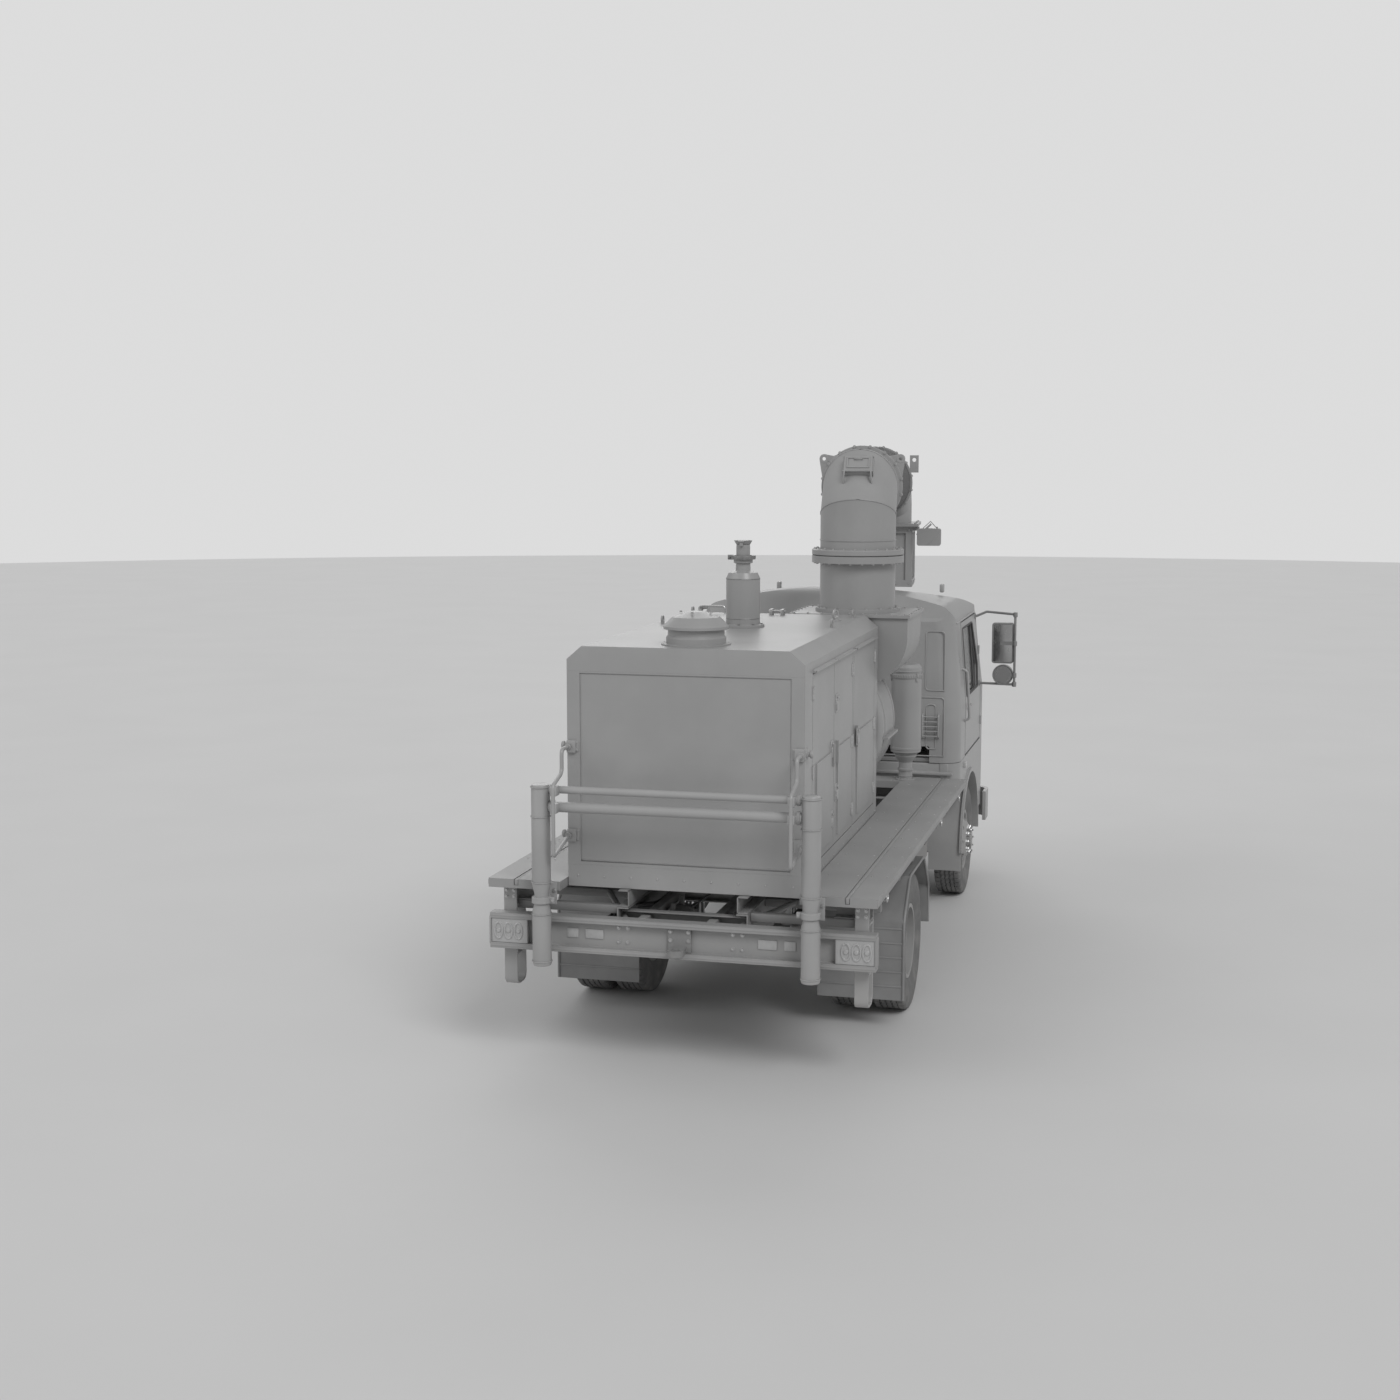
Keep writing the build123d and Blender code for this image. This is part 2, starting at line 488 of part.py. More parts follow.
def build_cab():
    """The cab shell split at its real panel joints, with glazed windows and hinged doors."""
    wide = CAB_WIDTH
    shell = cab_body(0) - cab_body(CAB_WALL)
    pane = cab_body(18) - cab_body(18 + GLASS)
    door_front, door_rear = CAB_FRONT + DOOR_FRONT_SETBACK, CAB_BACK - DOOR_REAR_SETBACK
    split = 2446

    roof = shell & block((-wide, wide), (CAB_FRONT, CAB_BACK), (split, CAB_CROWN + 10))
    save("cab_roof", roof)

    screen_side = CAB_WIDTH / 2 - 165
    screen = block((-screen_side, screen_side), (CAB_FRONT - 10, CAB_FRONT + 300), (WINDOW_LOW, 2395))
    screen = fillet(screen.edges().filter_by(Axis.Y), 60)
    front = shell & block((-wide, wide), (CAB_FRONT, door_front - DOOR_GAP), (CAB_SILL, split))
    front += shell & block((-wide, wide), (CAB_FRONT, CAB_FRONT + 170), (780, CAB_SILL + 1))
    front -= screen
    save("cab_front", front)

    rear_window = block((390 - CAB_WIDTH / 2, CAB_WIDTH / 2 - 390), (CAB_BACK - 100, CAB_BACK + 10), (2200, 2410))
    rear_window = fillet(rear_window.edges().filter_by(Axis.Y), 30)
    back = shell & block((-wide, wide), (door_rear + DOOR_GAP + 2, CAB_BACK), (CAB_SILL, split))
    back -= block((-900, 900), (CAB_BACK - CAB_WALL - 10, CAB_BACK + 1), (CAB_SILL - 1, CAB_BACK_SILL))
    back -= rear_window
    save("cab_back", back)
    save("cab_windows", pane & screen, pane & rear_window)

    floor_side = CAB_WIDTH / 2 - CAB_WALL - DOOR_GAP
    floor = block((-floor_side, floor_side),
                  (CAB_FRONT + CAB_WALL + 1, CAB_BACK - CAB_WALL - 1), (CAB_SILL + 1, CAB_SILL + 31))
    for sign in (-1, 1):
        for end in (CAB_FRONT + CAB_WALL, CAB_BACK - CAB_WALL):
            corner = sign * (CAB_WIDTH / 2 - CAB_WALL)
            floor -= block((min(corner, corner - sign * 120), max(corner, corner - sign * 120)),
                           (end - 120, end + 120), (CAB_SILL, CAB_SILL + 40))
    floor -= block((-340, 340), (FRONT_AXLE_Y - 600, CAB_BACK), (CAB_SILL, CAB_SILL + 40))
    tunnel = block((-370, 370), (FRONT_AXLE_Y - 630, CAB_BACK - CAB_WALL - 1), (CAB_SILL + 1, CAB_SILL + 160))
    tunnel -= block((-340, 340), (FRONT_AXLE_Y - 600, CAB_BACK), (CAB_SILL, CAB_SILL + 130))
    save("cab_floor", floor + tunnel)

    leaf = block((0, wide), (door_front, door_rear), (DOOR_LOW, DOOR_HIGH))
    sash = [(door_front + 190, WINDOW_LOW), (door_rear - 80, WINDOW_LOW), (door_rear - 80, WINDOW_HIGH),
            (door_front + 330, WINDOW_HIGH), (door_front + 120, WINDOW_LOW + 200)]
    opening = across(sash, 900, wide)
    door = (shell & leaf) - opening
    glass = pane & opening
    for side, turn in (("left", lambda shape: shape), ("right", other_side)):
        save(f"cab_door_{side}", turn(door))
        save(f"door_glass_{side}", turn(glass))

    arch = bar("x", (1000, FRONT_AXLE_Y, AXLE_Z), ARCH_RADIUS, 900)
    skin = block((0, wide), (CAB_FRONT + 172, CAB_BACK), (AXLE_Z + 520, CAB_SILL - 4))
    skin += block((0, wide), (CAB_FRONT + 172, FRONT_AXLE_Y - 300), (640, CAB_SILL - 4))
    fender = shell & skin
    fender -= block((0, CAB_WIDTH / 2 - CAB_CORNER), (CAB_BACK - CAB_WALL - 1, CAB_BACK + 1), (600, CAB_SILL))
    liner = bar("x", (900, FRONT_AXLE_Y, AXLE_Z), ARCH_RADIUS + 8, 520)
    liner &= block((0, wide), (CAB_FRONT, CAB_BACK), (AXLE_Z, CAB_SILL))
    lip = bar("x", (1158, FRONT_AXLE_Y, AXLE_Z), ARCH_RADIUS + 34, 24)
    lip &= block((0, wide), (CAB_FRONT, CAB_BACK), (AXLE_Z, CAB_SILL))
    flap = block((880, 1160), (FRONT_AXLE_Y + ARCH_RADIUS, FRONT_AXLE_Y + ARCH_RADIUS + 8), (318, AXLE_Z))
    save("front_fenders", *both_sides(fender + liner + lip + flap - arch))


ARCH_RADIUS = 606


def build_cab_fittings():
    """Seats, dashboard with steering wheel, door mirrors, front bumper and lamps."""
    floor_z = CAB_SILL + 31
    seat_y = CAB_BACK - 640
    seats = []
    for x in (-620, 620):
        cushion = block((x - 240, x + 240), (seat_y - 250, seat_y + 240), (floor_z + 190, floor_z + 330))
        rest = across([(seat_y + 170, floor_z + 300), (seat_y + 260, floor_z + 300),
                       (seat_y + 380, floor_z + 940), (seat_y + 300, floor_z + 940)], x - 230, x + 230)
        base = block((x - 170, x + 170), (seat_y - 180, seat_y + 180), (floor_z, floor_z + 200))
        seats.append(cushion + rest + base)
    save("seats", *seats)

    dash_front = CAB_FRONT + CAB_WALL + 20
    dash = across([(dash_front, 1480), (dash_front + 330, 1480), (dash_front + 420, 1620),
                   (dash_front + 400, 1700), (dash_front, 1730)], -990, 990)
    wheel_centre = Vector(600, dash_front + 560, 1800)
    tilt = Plane(origin=wheel_centre, x_dir=(1, 0, 0), z_dir=(0, 0.5, 0.866))
    steering = tilt * Torus(215, 16) + tilt * Pos(0, 0, -20) * Cylinder(60, 50)
    for turn in (30, 150, 270):
        spoke = Rot(0, 0, turn) * Pos(110, 0, 0) * Box(200, 30, 16)
        steering += tilt * spoke
    steering += tilt * Pos(0, 0, -150) * Cylinder(32, 260)
    save("dashboard", dash + steering)

    door_front = CAB_FRONT + DOOR_FRONT_SETBACK
    root = CAB_WIDTH / 2 - 5
    arm_y = door_front + 60
    mirror_y = door_front + 125
    arm = rod([(root - 40, arm_y, 2410), (root + 60, arm_y, 2455), (1470, mirror_y, 2440),
               (1470, mirror_y, 1800), (root - 10, arm_y, 1800)], 11, 35)
    head = block((1262, 1458), (mirror_y - 55, mirror_y - 8), (1990, 2360))
    head = fillet(head.edges().filter_by(Axis.Y), 25)
    small = bar("y", (1365, mirror_y - 32, 1885), 92, 48)
    stalk = block((1340, 1474), (mirror_y - 20, mirror_y + 8), (2160, 2190))
    stalk += block((1440, 1474), (mirror_y - 20, mirror_y + 8), (1870, 1900))
    assembly = arm + head + small + stalk - cab_body(0)
    save("mirror_left", assembly)
    save("mirror_right", other_side(assembly))

    reach = CAB_FRONT - BUMPER_REACH
    bumper = plan_section(480, 1200, CAB_FRONT + 300, reach, 150)
    bumper = extrude(bumper, 270, dir=(0, 0, 1))
    bumper -= extrude(plan_section(470, 1170, CAB_FRONT + 340, reach + 60, 120), 300, dir=(0, 0, 1))
    bumper &= block((-1300, 1300), (reach - 10, CAB_FRONT + 150), (470, 800))
    bumper += block((-1000, 1000), (reach + 40, CAB_FRONT + 40), (700, 750))
    headlamps = block((760, 1060), (reach - 5, reach + 59), (560, 690))
    bumper -= headlamps
    bumper -= other_side(headlamps)
    for x in (-RAIL_X + 40, RAIL_X - 40):
        bumper += block((x - 35, x + 35), (CAB_FRONT + 50, CAB_FRONT + 120), (640, RAIL_TOP - 40))
        bumper += block((x - 35, x + 35), (reach + 50, CAB_FRONT + 120), (600, 700))
    save("front_bumper", bumper)

    lamp = block((761, 1059), (reach + 3, reach + 58), (561, 689))
    tail = block((LAMP_INNER, BUMPER_SIDE - 10), (DECK_REAR - 47, DECK_REAR - 6),
                 (BUMPER_LOW + 38, BUMPER_HIGH - 38))
    save("lamps", *both_sides(lamp), *both_sides(tail))


POST_REAR = 250
POST_FRONT = 145
POST_MIDDLE = 60
DOOR_TOP = 2520


def canopy_stations():
    """Where each side door starts and ends: (name, rear edge, front edge, hinge edge)."""
    rear = CANOPY_REAR - POST_REAR
    front = CANOPY_FRONT + POST_FRONT
    middle = rear - (rear - front) * 0.62
    mid_gap = rear - (rear - front) * 0.31
    return [("rear", rear, mid_gap + DOOR_GAP / 2, "rear"),
            ("middle", mid_gap - DOOR_GAP / 2, middle + POST_MIDDLE / 2, "front"),
            ("front", middle - POST_MIDDLE / 2, front, "front")]


def build_canopy():
    """Base frame, end walls, posts, chamfered roof, six side doors and the power unit inside."""
    side, wall = CANOPY_SIDE, CANOPY_WALL
    low, high = CANOPY_FRONT, CANOPY_REAR
    base = block((-side, side), (low, high), (CANOPY_BOTTOM, SILL_TOP))
    base -= block((-side + wall, side - wall), (low + wall, high - wall), (CANOPY_BOTTOM + 20, SILL_TOP + 1))
    save("canopy_base", base)

    rail = DOOR_TOP + DOOR_GAP
    rear = block((-side, side), (high - POST_REAR + DOOR_GAP, high), (SILL_TOP, rail))
    rear -= block((-side + wall, side - wall), (high - POST_REAR, high - wall), (SILL_TOP - 1, rail + 1))
    rear -= block((-680, 680), (high - 12, high + 1), (SILL_TOP + 21, DOOR_TOP - 3))
    rear += block((-674, 674), (high - 13, high - 6), (SILL_TOP + 27, DOOR_TOP - 9))
    front = block((-side, side), (low, low + POST_FRONT - DOOR_GAP), (SILL_TOP, rail))
    front -= block((-side + wall, side - wall), (low + wall, low + POST_FRONT), (SILL_TOP - 1, rail + 1))
    middle = canopy_stations()[1][2] - POST_MIDDLE / 2
    half_post = POST_MIDDLE / 2 - DOOR_GAP
    post = block((side - wall, side), (middle - half_post, middle + half_post), (SILL_TOP, rail))
    save("canopy_walls", rear, front, *both_sides(post))

    edge = CANOPY_ROOF_WIDTH / 2
    outline = [(-side, rail), (side, rail), (side, CANOPY_EAVE), (edge, CANOPY_TOP), (-edge, CANOPY_TOP),
               (-side, CANOPY_EAVE)]
    hollow = [(-side + wall, rail - 1), (side - wall, rail - 1), (side - wall, CANOPY_EAVE - 18),
              (edge - 24, CANOPY_TOP - wall), (24 - edge, CANOPY_TOP - wall), (wall - side, CANOPY_EAVE - 18)]
    roof = along(outline, low, high) - along(hollow, low + wall, high - wall)
    for y in (CANOPY_REAR - 1700, CANOPY_REAR - 2550):
        for x in (-610, 610):
            eye = bar("x", (x, y, CANOPY_TOP + 28), 30, 12) - bar("x", (x, y, CANOPY_TOP + 30), 14, 20)
            roof += eye + block((x - 6, x + 6), (y - 30, y + 30), (CANOPY_TOP - 2, CANOPY_TOP + 12))
    save("canopy_roof", roof)

    for name, rear_edge, front_edge, hinge in canopy_stations():
        door = block((side - wall, side), (front_edge, rear_edge), (SILL_TOP + DOOR_GAP, DOOR_TOP))
        grip = rear_edge - 70 if hinge == "front" else front_edge + 70
        door += block((side, side + 10), (front_edge + 110, rear_edge - 110), (SILL_TOP + 60, 1940))
        door += block((side, side + 22), (grip - 14, grip + 14), (1840, 1990))
        save(f"canopy_door_{name}_left", door)
        save(f"canopy_door_{name}_right", other_side(door))

    machine = block((-620, 620), (low + 120, high - 360), (CANOPY_BOTTOM + 20, 2380))
    machine = chamfer(machine.edges().filter_by(Axis.Y), 40)
    save("power_unit", machine)


def build_roof_fittings():
    """A mushroom vent and an exhaust stack on the canopy roof."""
    vent = Polyline((0, 0), (191, 0), (191, 45), (180, 60), (180, 95), (208, 100), (208, 118), (150, 175),
                    (60, 208), (0, 214), close=True)
    place = Pos(0, DECK_REAR - 450, CANOPY_TOP)
    save("roof_vent", place * revolve(Plane.XZ * make_face(vent), Axis.Z))
    stack = Polyline((0, 0), (150, 0), (150, 18), (118, 22), (118, 340), (100, 378), (52, 392), (50, 440),
                     (66, 446), (66, 470), (48, 476), (48, 560), (40, 600), (0, 600), close=True)
    place = Pos(0, DECK_REAR - 1750, CANOPY_TOP)
    save("exhaust_stack", place * revolve(Plane.XZ * make_face(stack), Axis.Z))


FAN_X = -250
FAN_Z = 1840
FAN_RADIUS = 560


def build_fan():
    """Suction fan drum, its outlet duct up to the swivel ring, and the air cleaner."""
    rear = CANOPY_FRONT - 5
    depth = 620
    drum = bar("y", (FAN_X, rear - depth / 2, FAN_Z), FAN_RADIUS, depth)
    drum = fillet(drum.edges().filter_by(GeomType.CIRCLE), 40)
    drum += block((FAN_X - FAN_RADIUS - 30, FAN_X + FAN_RADIUS + 30), (rear - depth + 60, rear - 60),
                  (1742, 1762))
    saddle_low = DECK_BOTTOM
    for y in (rear - 110, rear - depth + 110):
        drum += block((FAN_X - 330, FAN_X + 330), (y - 20, y + 20), (saddle_low, FAN_Z - 380))
    drum += block((FAN_X - 400, FAN_X + 400), (rear - depth, rear), (saddle_low, saddle_low + 20))
    save("fan_drum", drum)

    half = 350
    top = 2690
    duct = block((DUCT_X - 440, DUCT_X + 440), (DUCT_Y - half, DUCT_Y + half), (2150, top))
    low_right = duct.edges().filter_by(Axis.Y).sort_by(Axis.Z)[0:2].sort_by(Axis.X)[0]
    duct = fillet(low_right, 375)
    duct -= bar("y", (FAN_X, rear - depth / 2, FAN_Z), FAN_RADIUS + 1, depth + 400)
    flange = block((DUCT_X - 460, DUCT_X + 460), (DUCT_Y - half - 20, DUCT_Y + half + 20), (top - 24, top))
    save("fan_outlet", duct + flange)

    riser = bar("z", (DUCT_X, DUCT_Y, (top + RING_LOW) / 2), DUCT_RADIUS, RING_LOW - top)
    riser += bar("z", (DUCT_X, DUCT_Y, top + 14), DUCT_RADIUS + 34, 28)
    riser += bar("z", (DUCT_X, DUCT_Y, RING_LOW + 27), RING_RADIUS, 54)
    riser -= bar("z", (DUCT_X, DUCT_Y, (top + RING_LOW) / 2), DUCT_RADIUS - DUCT_WALL, 1000)
    save("boom_riser", riser)

    can = Polyline((0, 0), (80, 0), (80, 12), (56, 16), (56, 150), (70, 170), (90, 200), (90, 215),
                   (124, 240), (124, 850), (130, 855), (130, 885), (120, 890), (124, 905), (124, 940),
                   (104, 965), (0, 968), close=True)
    cleaner_y = DECK_FRONT + 135
    save("air_cleaner", Pos(-765, cleaner_y, DECK_TOP) * revolve(Plane.XZ * make_face(can), Axis.Z))


RING_LOW = 3063
RING_RADIUS = 350
RING_GAP = 4
HATCH_WIDTH = 214
HATCH_DEPTH = 154


def mitred_tube(path, start, direction, radius):
    """A thin tube swept along straight runs with mitred joints."""
    end = Plane(origin=start, z_dir=direction)
    outer = sweep(end * Circle(radius), path, transition=Transition.RIGHT)
    return outer - sweep(end * Circle(radius - DUCT_WALL), path, transition=Transition.RIGHT)


def collar(axis, centre, radius, inner, length):
    """A flat ring about one axis."""
    return bar(axis, centre, radius, length) - bar(axis, centre, inner, length + 2)


def build_boom():
    """The slewing boom: mitred elbow, ribbed hose, hood and head with its floodlight, and hatch."""
    place = Pos(DUCT_X, DUCT_Y, 0) * Rot(0, 0, BOOM_ANGLE)
    ring_z = RING_LOW + 54 + RING_GAP
    z, bend = BOOM_HEIGHT, BOOM_BEND
    corner = bend * (1 - tan(radians(22.5)))
    flange_l = bend + 60

    path = Polyline((0, 0, ring_z), (0, 0, z - corner), (0, -corner, z), (0, -flange_l, z))
    elbow = mitred_tube(path, (0, 0, ring_z), (0, 0, 1), DUCT_RADIUS)
    elbow += collar("z", (0, 0, ring_z + 22), RING_RADIUS, DUCT_RADIUS - 4, 44)
    elbow += collar("y", (0, -flange_l + 12, z), DUCT_RADIUS + 30, DUCT_RADIUS - 4, 24)
    for x in (-330, 330):
        ear = block((x - 38, x + 38), (-flange_l, -flange_l + 24), (z + 90, z + 240))
        elbow += ear - bar("y", (x, -flange_l, z + 200), 17, 80)
    slope = sqrt(0.5)
    hatch = Plane(origin=(0, DUCT_RADIUS * slope - corner / 2 - 56, z - corner / 2 + DUCT_RADIUS * slope + 56),
                  x_dir=(1, 0, 0), z_dir=(0, 1, 1))
    elbow += hatch * Pos(0, 0, -8) * Box(HATCH_WIDTH + 16, HATCH_DEPTH + 16, 66)
    elbow -= hatch * Pos(0, 0, -20) * Box(HATCH_WIDTH - 24, HATCH_DEPTH - 24, 160)
    save("boom_elbow", place * elbow)
    save("boom_hatch", place * (hatch * Pos(0, 0, 34) * Box(HATCH_WIDTH, HATCH_DEPTH, 16)))

    hose_end = BOOM_REACH - flange_l
    turns = 26
    pitch = (hose_end - flange_l) / turns
    radial = DUCT_RADIUS - 2
    ribs = []
    for turn in range(turns):
        start = flange_l + turn * pitch
        ribs += [(radial, -start - pitch * 0.3), (radial + 14, -start - pitch * 0.45),
                 (radial + 14, -start - pitch * 0.75), (radial, -start - pitch * 0.9)]
    inner = radial - DUCT_WALL
    outline = [(inner, -flange_l), (radial, -flange_l)] + ribs + [(radial, -hose_end), (inner, -hose_end)]
    hose = revolve(make_face(Polyline(*outline, close=True)), Axis.Y)
    save("boom_hose", place * Pos(0, 0, z) * hose)

    end = BOOM_REACH
    hood_top = z - bend - 10
    path = Polyline((0, -hose_end, z), (0, corner - end, z), (0, -end, z - corner), (0, -end, hood_top))
    head = mitred_tube(path, (0, -hose_end, z), (0, -1, 0), DUCT_RADIUS + 10)
    head += collar("y", (0, -hose_end - 12, z), DUCT_RADIUS + 30, DUCT_RADIUS, 24)
    for x in (-330, 330):
        ear = block((x - 38, x + 38), (-hose_end - 24, -hose_end), (z + 90, z + 240))
        head += ear - bar("y", (x, -hose_end, z + 200), 17, 80)
    half, post, skin = HEAD_WIDTH / 2, 60, 10
    brim, brim_low = half + 50, HEAD_TOP - 24
    head += block((-brim, brim), (-end - brim, -end + brim), (brim_low, HEAD_TOP))
    head -= bar("z", (0, -end, HEAD_TOP - 12), DUCT_RADIUS, 30)
    frame = block((-half, half), (-end - half, -end + half), (HEAD_BOTTOM, brim_low))
    for sign in (-1, 1):
        frame -= block((-half + post, half - post), (-end + sign * half - 20, -end + sign * half + 20),
                       (HEAD_BOTTOM + post, brim_low - post))
        frame -= block((sign * half - 20, sign * half + 20), (-end - half + post, -end + half - post),
                       (HEAD_BOTTOM + post, brim_low - post))
    cavity = half - 20 - skin
    frame -= block((-cavity, cavity), (-end - cavity, -end + cavity), (HEAD_BOTTOM - 1, brim_low + 1))
    lamp = block((-half - 250, -half - 40), (-end + half - 60, -end + half + 60), (HEAD_TOP - 190, HEAD_TOP - 40))
    lamp = fillet(lamp.edges().filter_by(Axis.Y), 20)
    lamp += block((-half - 60, -half), (-end + half - 30, -end + half), (HEAD_TOP - 60, brim_low))
    save("suction_head", place * (head + frame + lamp))


def main():
    os.makedirs("parts", exist_ok=True)
    build_chassis()
    build_deck()
    build_rear_end()
    build_guard()
    build_wheels()
    build_axles()
    build_driveline()
    build_mudguards()
    build_cab()
    build_cab_fittings()
    build_canopy()
    build_roof_fittings()
    build_fan()
    build_boom()


if __name__ == "__main__":
    main()
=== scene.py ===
# %% [markdown]
# # An industrial vacuum truck
# A small cab-over lorry carries a canopied power unit, a fan and a suction boom. The CAD model gives every
# large shape, and this notebook dresses it: finishes for every node, then the small things a maker bolts
# on.

# %% Load the fixed frame
import json

import bmesh
import bpy
import numpy as np
from math import cos, radians, sin, tau
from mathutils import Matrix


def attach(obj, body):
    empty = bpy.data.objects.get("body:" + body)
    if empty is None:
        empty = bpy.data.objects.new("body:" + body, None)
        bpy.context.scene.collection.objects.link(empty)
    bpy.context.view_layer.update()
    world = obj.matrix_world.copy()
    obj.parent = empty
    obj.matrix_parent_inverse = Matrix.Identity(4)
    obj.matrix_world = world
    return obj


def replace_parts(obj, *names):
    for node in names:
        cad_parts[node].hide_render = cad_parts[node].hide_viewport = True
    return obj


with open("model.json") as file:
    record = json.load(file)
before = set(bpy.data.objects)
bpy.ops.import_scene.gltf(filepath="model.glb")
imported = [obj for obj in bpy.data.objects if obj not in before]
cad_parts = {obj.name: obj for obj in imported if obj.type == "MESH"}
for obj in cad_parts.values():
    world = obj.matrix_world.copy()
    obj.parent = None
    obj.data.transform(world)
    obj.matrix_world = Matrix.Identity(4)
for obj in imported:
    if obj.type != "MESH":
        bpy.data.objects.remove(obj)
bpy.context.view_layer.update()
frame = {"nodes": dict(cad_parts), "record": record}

NODES = frame["nodes"]

# %% [markdown]
# ## Surfaces as arrays
# A shell here is a pair of arrays: points, and quads that index them. Every helper works out all its points
# at once, from two parameters that run over a grid, and small shells are copied by multiplying with many
# matrices.


# %% Grids of points
def grid(points, around=False):
    """Quads over a grid of points shaped (rows, columns, 3). around joins the last column to the first."""
    rows, columns = points.shape[:2]
    index = np.arange(rows * columns).reshape(rows, columns)
    across = np.roll(index, -1, axis=1) if around else index[:, 1:]
    here = index if around else index[:, :-1]
    quads = np.stack([here[:-1], across[:-1], across[1:], here[1:]], axis=-1)
    return points.reshape(-1, 3).astype(float), quads.reshape(-1, 4)


def join(*shells):
    """Several shells as one: points one after another, and quads moved up by the points before them."""
    counts = np.cumsum([0] + [len(points) for points, _ in shells[:-1]])
    points = np.concatenate([points for points, _ in shells])
    return points, np.concatenate([quads + count for (_, quads), count in zip(shells, counts)])


def capped(rings):
    """Rings of points (rows, columns, 3), closed at both ends by rows that sit on the ring's mean point."""
    first = np.broadcast_to(rings[0].mean(axis=0), rings[0].shape)
    last = np.broadcast_to(rings[-1].mean(axis=0), rings[-1].shape)
    return grid(np.concatenate([first[None], rings, last[None]]), around=True)


# %% Places
def place(x=0.0, y=0.0, z=0.0, turn=0.0, about="z"):
    """A 4 by 4 matrix: a turn in degrees about one axis, then a move."""
    c, s = cos(radians(turn)), sin(radians(turn))
    i, j = {"x": (1, 2), "y": (2, 0), "z": (0, 1)}[about]
    matrix = np.eye(4)
    matrix[i, i], matrix[i, j], matrix[j, i], matrix[j, j] = c, -s, s, c
    matrix[:3, 3] = x, y, z
    return matrix


def copies(shell, places):
    """The shell once for each matrix: every point times every matrix, in one product."""
    points, quads = shell
    places = np.asarray(places, float).reshape(-1, 4, 4)
    moved = np.einsum("nij,pj->npi", places[:, :3, :3], points) + places[:, None, :3, 3]
    offsets = np.arange(len(places))[:, None, None] * len(points)
    return moved.reshape(-1, 3), (quads[None] + offsets).reshape(-1, 4)


def both_sides(shell):
    """The shell and its mirror image across the truck's middle plane."""
    points, quads = shell
    return join(shell, (points * (-1, 1, 1), quads[:, ::-1]))


def mirrored(shell):
    """Only the mirror image across the truck's middle plane."""
    points, quads = shell
    return points * (-1, 1, 1), quads[:, ::-1]


SIDES = (("left", lambda shell: shell), ("right", mirrored))


# %% Turned, swept and rounded shapes
def lathe(profile, steps=32, axis="z"):
    """Profile points (radius, height) carried round an axis: x = r cos a, y = r sin a, z = height."""
    radius, height = np.asarray(profile, float).T
    angle = np.arange(steps) * tau / steps
    ring = np.stack([np.cos(angle), np.sin(angle)], axis=-1)
    flat = radius[:, None, None] * ring
    points = np.concatenate([flat, np.broadcast_to(height[:, None, None], (len(radius), steps, 1))], axis=-1)
    order = {"z": [0, 1, 2], "x": [2, 0, 1], "y": [1, 2, 0]}[axis]
    return grid(points[..., order], around=True)


def disc(radius, low, high, edge=0.0, steps=24, axis="z"):
    """A closed round solid between two heights, its rims cut back by edge."""
    profile = [(0, low), (radius - edge, low), (radius, low + edge), (radius, high - edge),
               (radius - edge, high), (0, high)]
    return lathe(profile, steps, axis)


def slab(low, high, edge=0.004, cuts=1):
    """A box with rounded edges: the point in direction n lies at sign(n) (half size - edge) + n edge."""
    low, high = np.minimum(low, high).astype(float), np.maximum(low, high).astype(float)
    quarter = np.linspace(0, 90, cuts + 2)
    around = np.radians(np.concatenate([quarter + 90 * k for k in range(4)]))
    up = np.radians(np.concatenate([quarter - 90, quarter]))
    signs = np.repeat([[1, 1], [-1, 1], [-1, -1], [1, -1]], cuts + 2, axis=0)
    rise = np.repeat([-1, 1], cuts + 2)
    normal = np.stack(np.broadcast_arrays(np.cos(up)[:, None] * np.cos(around),
                                          np.cos(up)[:, None] * np.sin(around), np.sin(up)[:, None]), axis=-1)
    corner = np.stack(np.broadcast_arrays(signs[:, 0][None], signs[:, 1][None], rise[:, None]), axis=-1)
    half = (high - low) / 2
    edge = min(edge, half.min() * 0.98)
    points = (low + high) / 2 + corner * (half - edge) + normal * edge
    return capped(points)


def path_of(corners, bend=0.03, steps=5):
    """A polyline with rounded corners: at each, (1-t)^2 a + 2t(1-t) c + t^2 b between cut-back points."""
    corners = np.asarray(corners, float)
    middle, before, after = corners[1:-1], corners[:-2] - corners[1:-1], corners[2:] - corners[1:-1]
    reach = np.minimum(np.linalg.norm(before, axis=1), np.linalg.norm(after, axis=1)) * 0.49
    reach = np.minimum(reach, bend)[:, None]
    start = middle + before / np.linalg.norm(before, axis=1, keepdims=True) * reach
    end = middle + after / np.linalg.norm(after, axis=1, keepdims=True) * reach
    t = np.linspace(0, 1, steps)[None, :, None]
    rounds = (1 - t) ** 2 * start[:, None] + 2 * t * (1 - t) * middle[:, None] + t ** 2 * end[:, None]
    return np.concatenate([corners[:1], rounds.reshape(-1, 3), corners[-1:]])


def sweep(path, profile, level=(0, 0, 1), close=False):
    """A flat profile (across, up) carried along a path: across is level x tangent, up is tangent x across."""
    path, profile = np.asarray(path, float), np.asarray(profile, float)
    if close:
        tangent = np.roll(path, -1, axis=0) - np.roll(path, 1, axis=0)
    else:
        tangent = np.gradient(path, axis=0)
    tangent /= np.linalg.norm(tangent, axis=1, keepdims=True)
    across = np.cross(np.asarray(level, float), tangent)
    across /= np.linalg.norm(across, axis=1, keepdims=True)
    up = np.cross(tangent, across)
    points = path[:, None] + profile[None, :, :1] * across[:, None] + profile[None, :, 1:] * up[:, None]
    if close:
        return grid(np.concatenate([points, points[:1]]), around=True)
    return capped(points)


def ring_profile(radius, sides=10):
    """Points of a circle, for sweep."""
    angle = np.arange(sides) * tau / sides
    return radius * np.stack([np.cos(angle), np.sin(angle)], axis=-1)


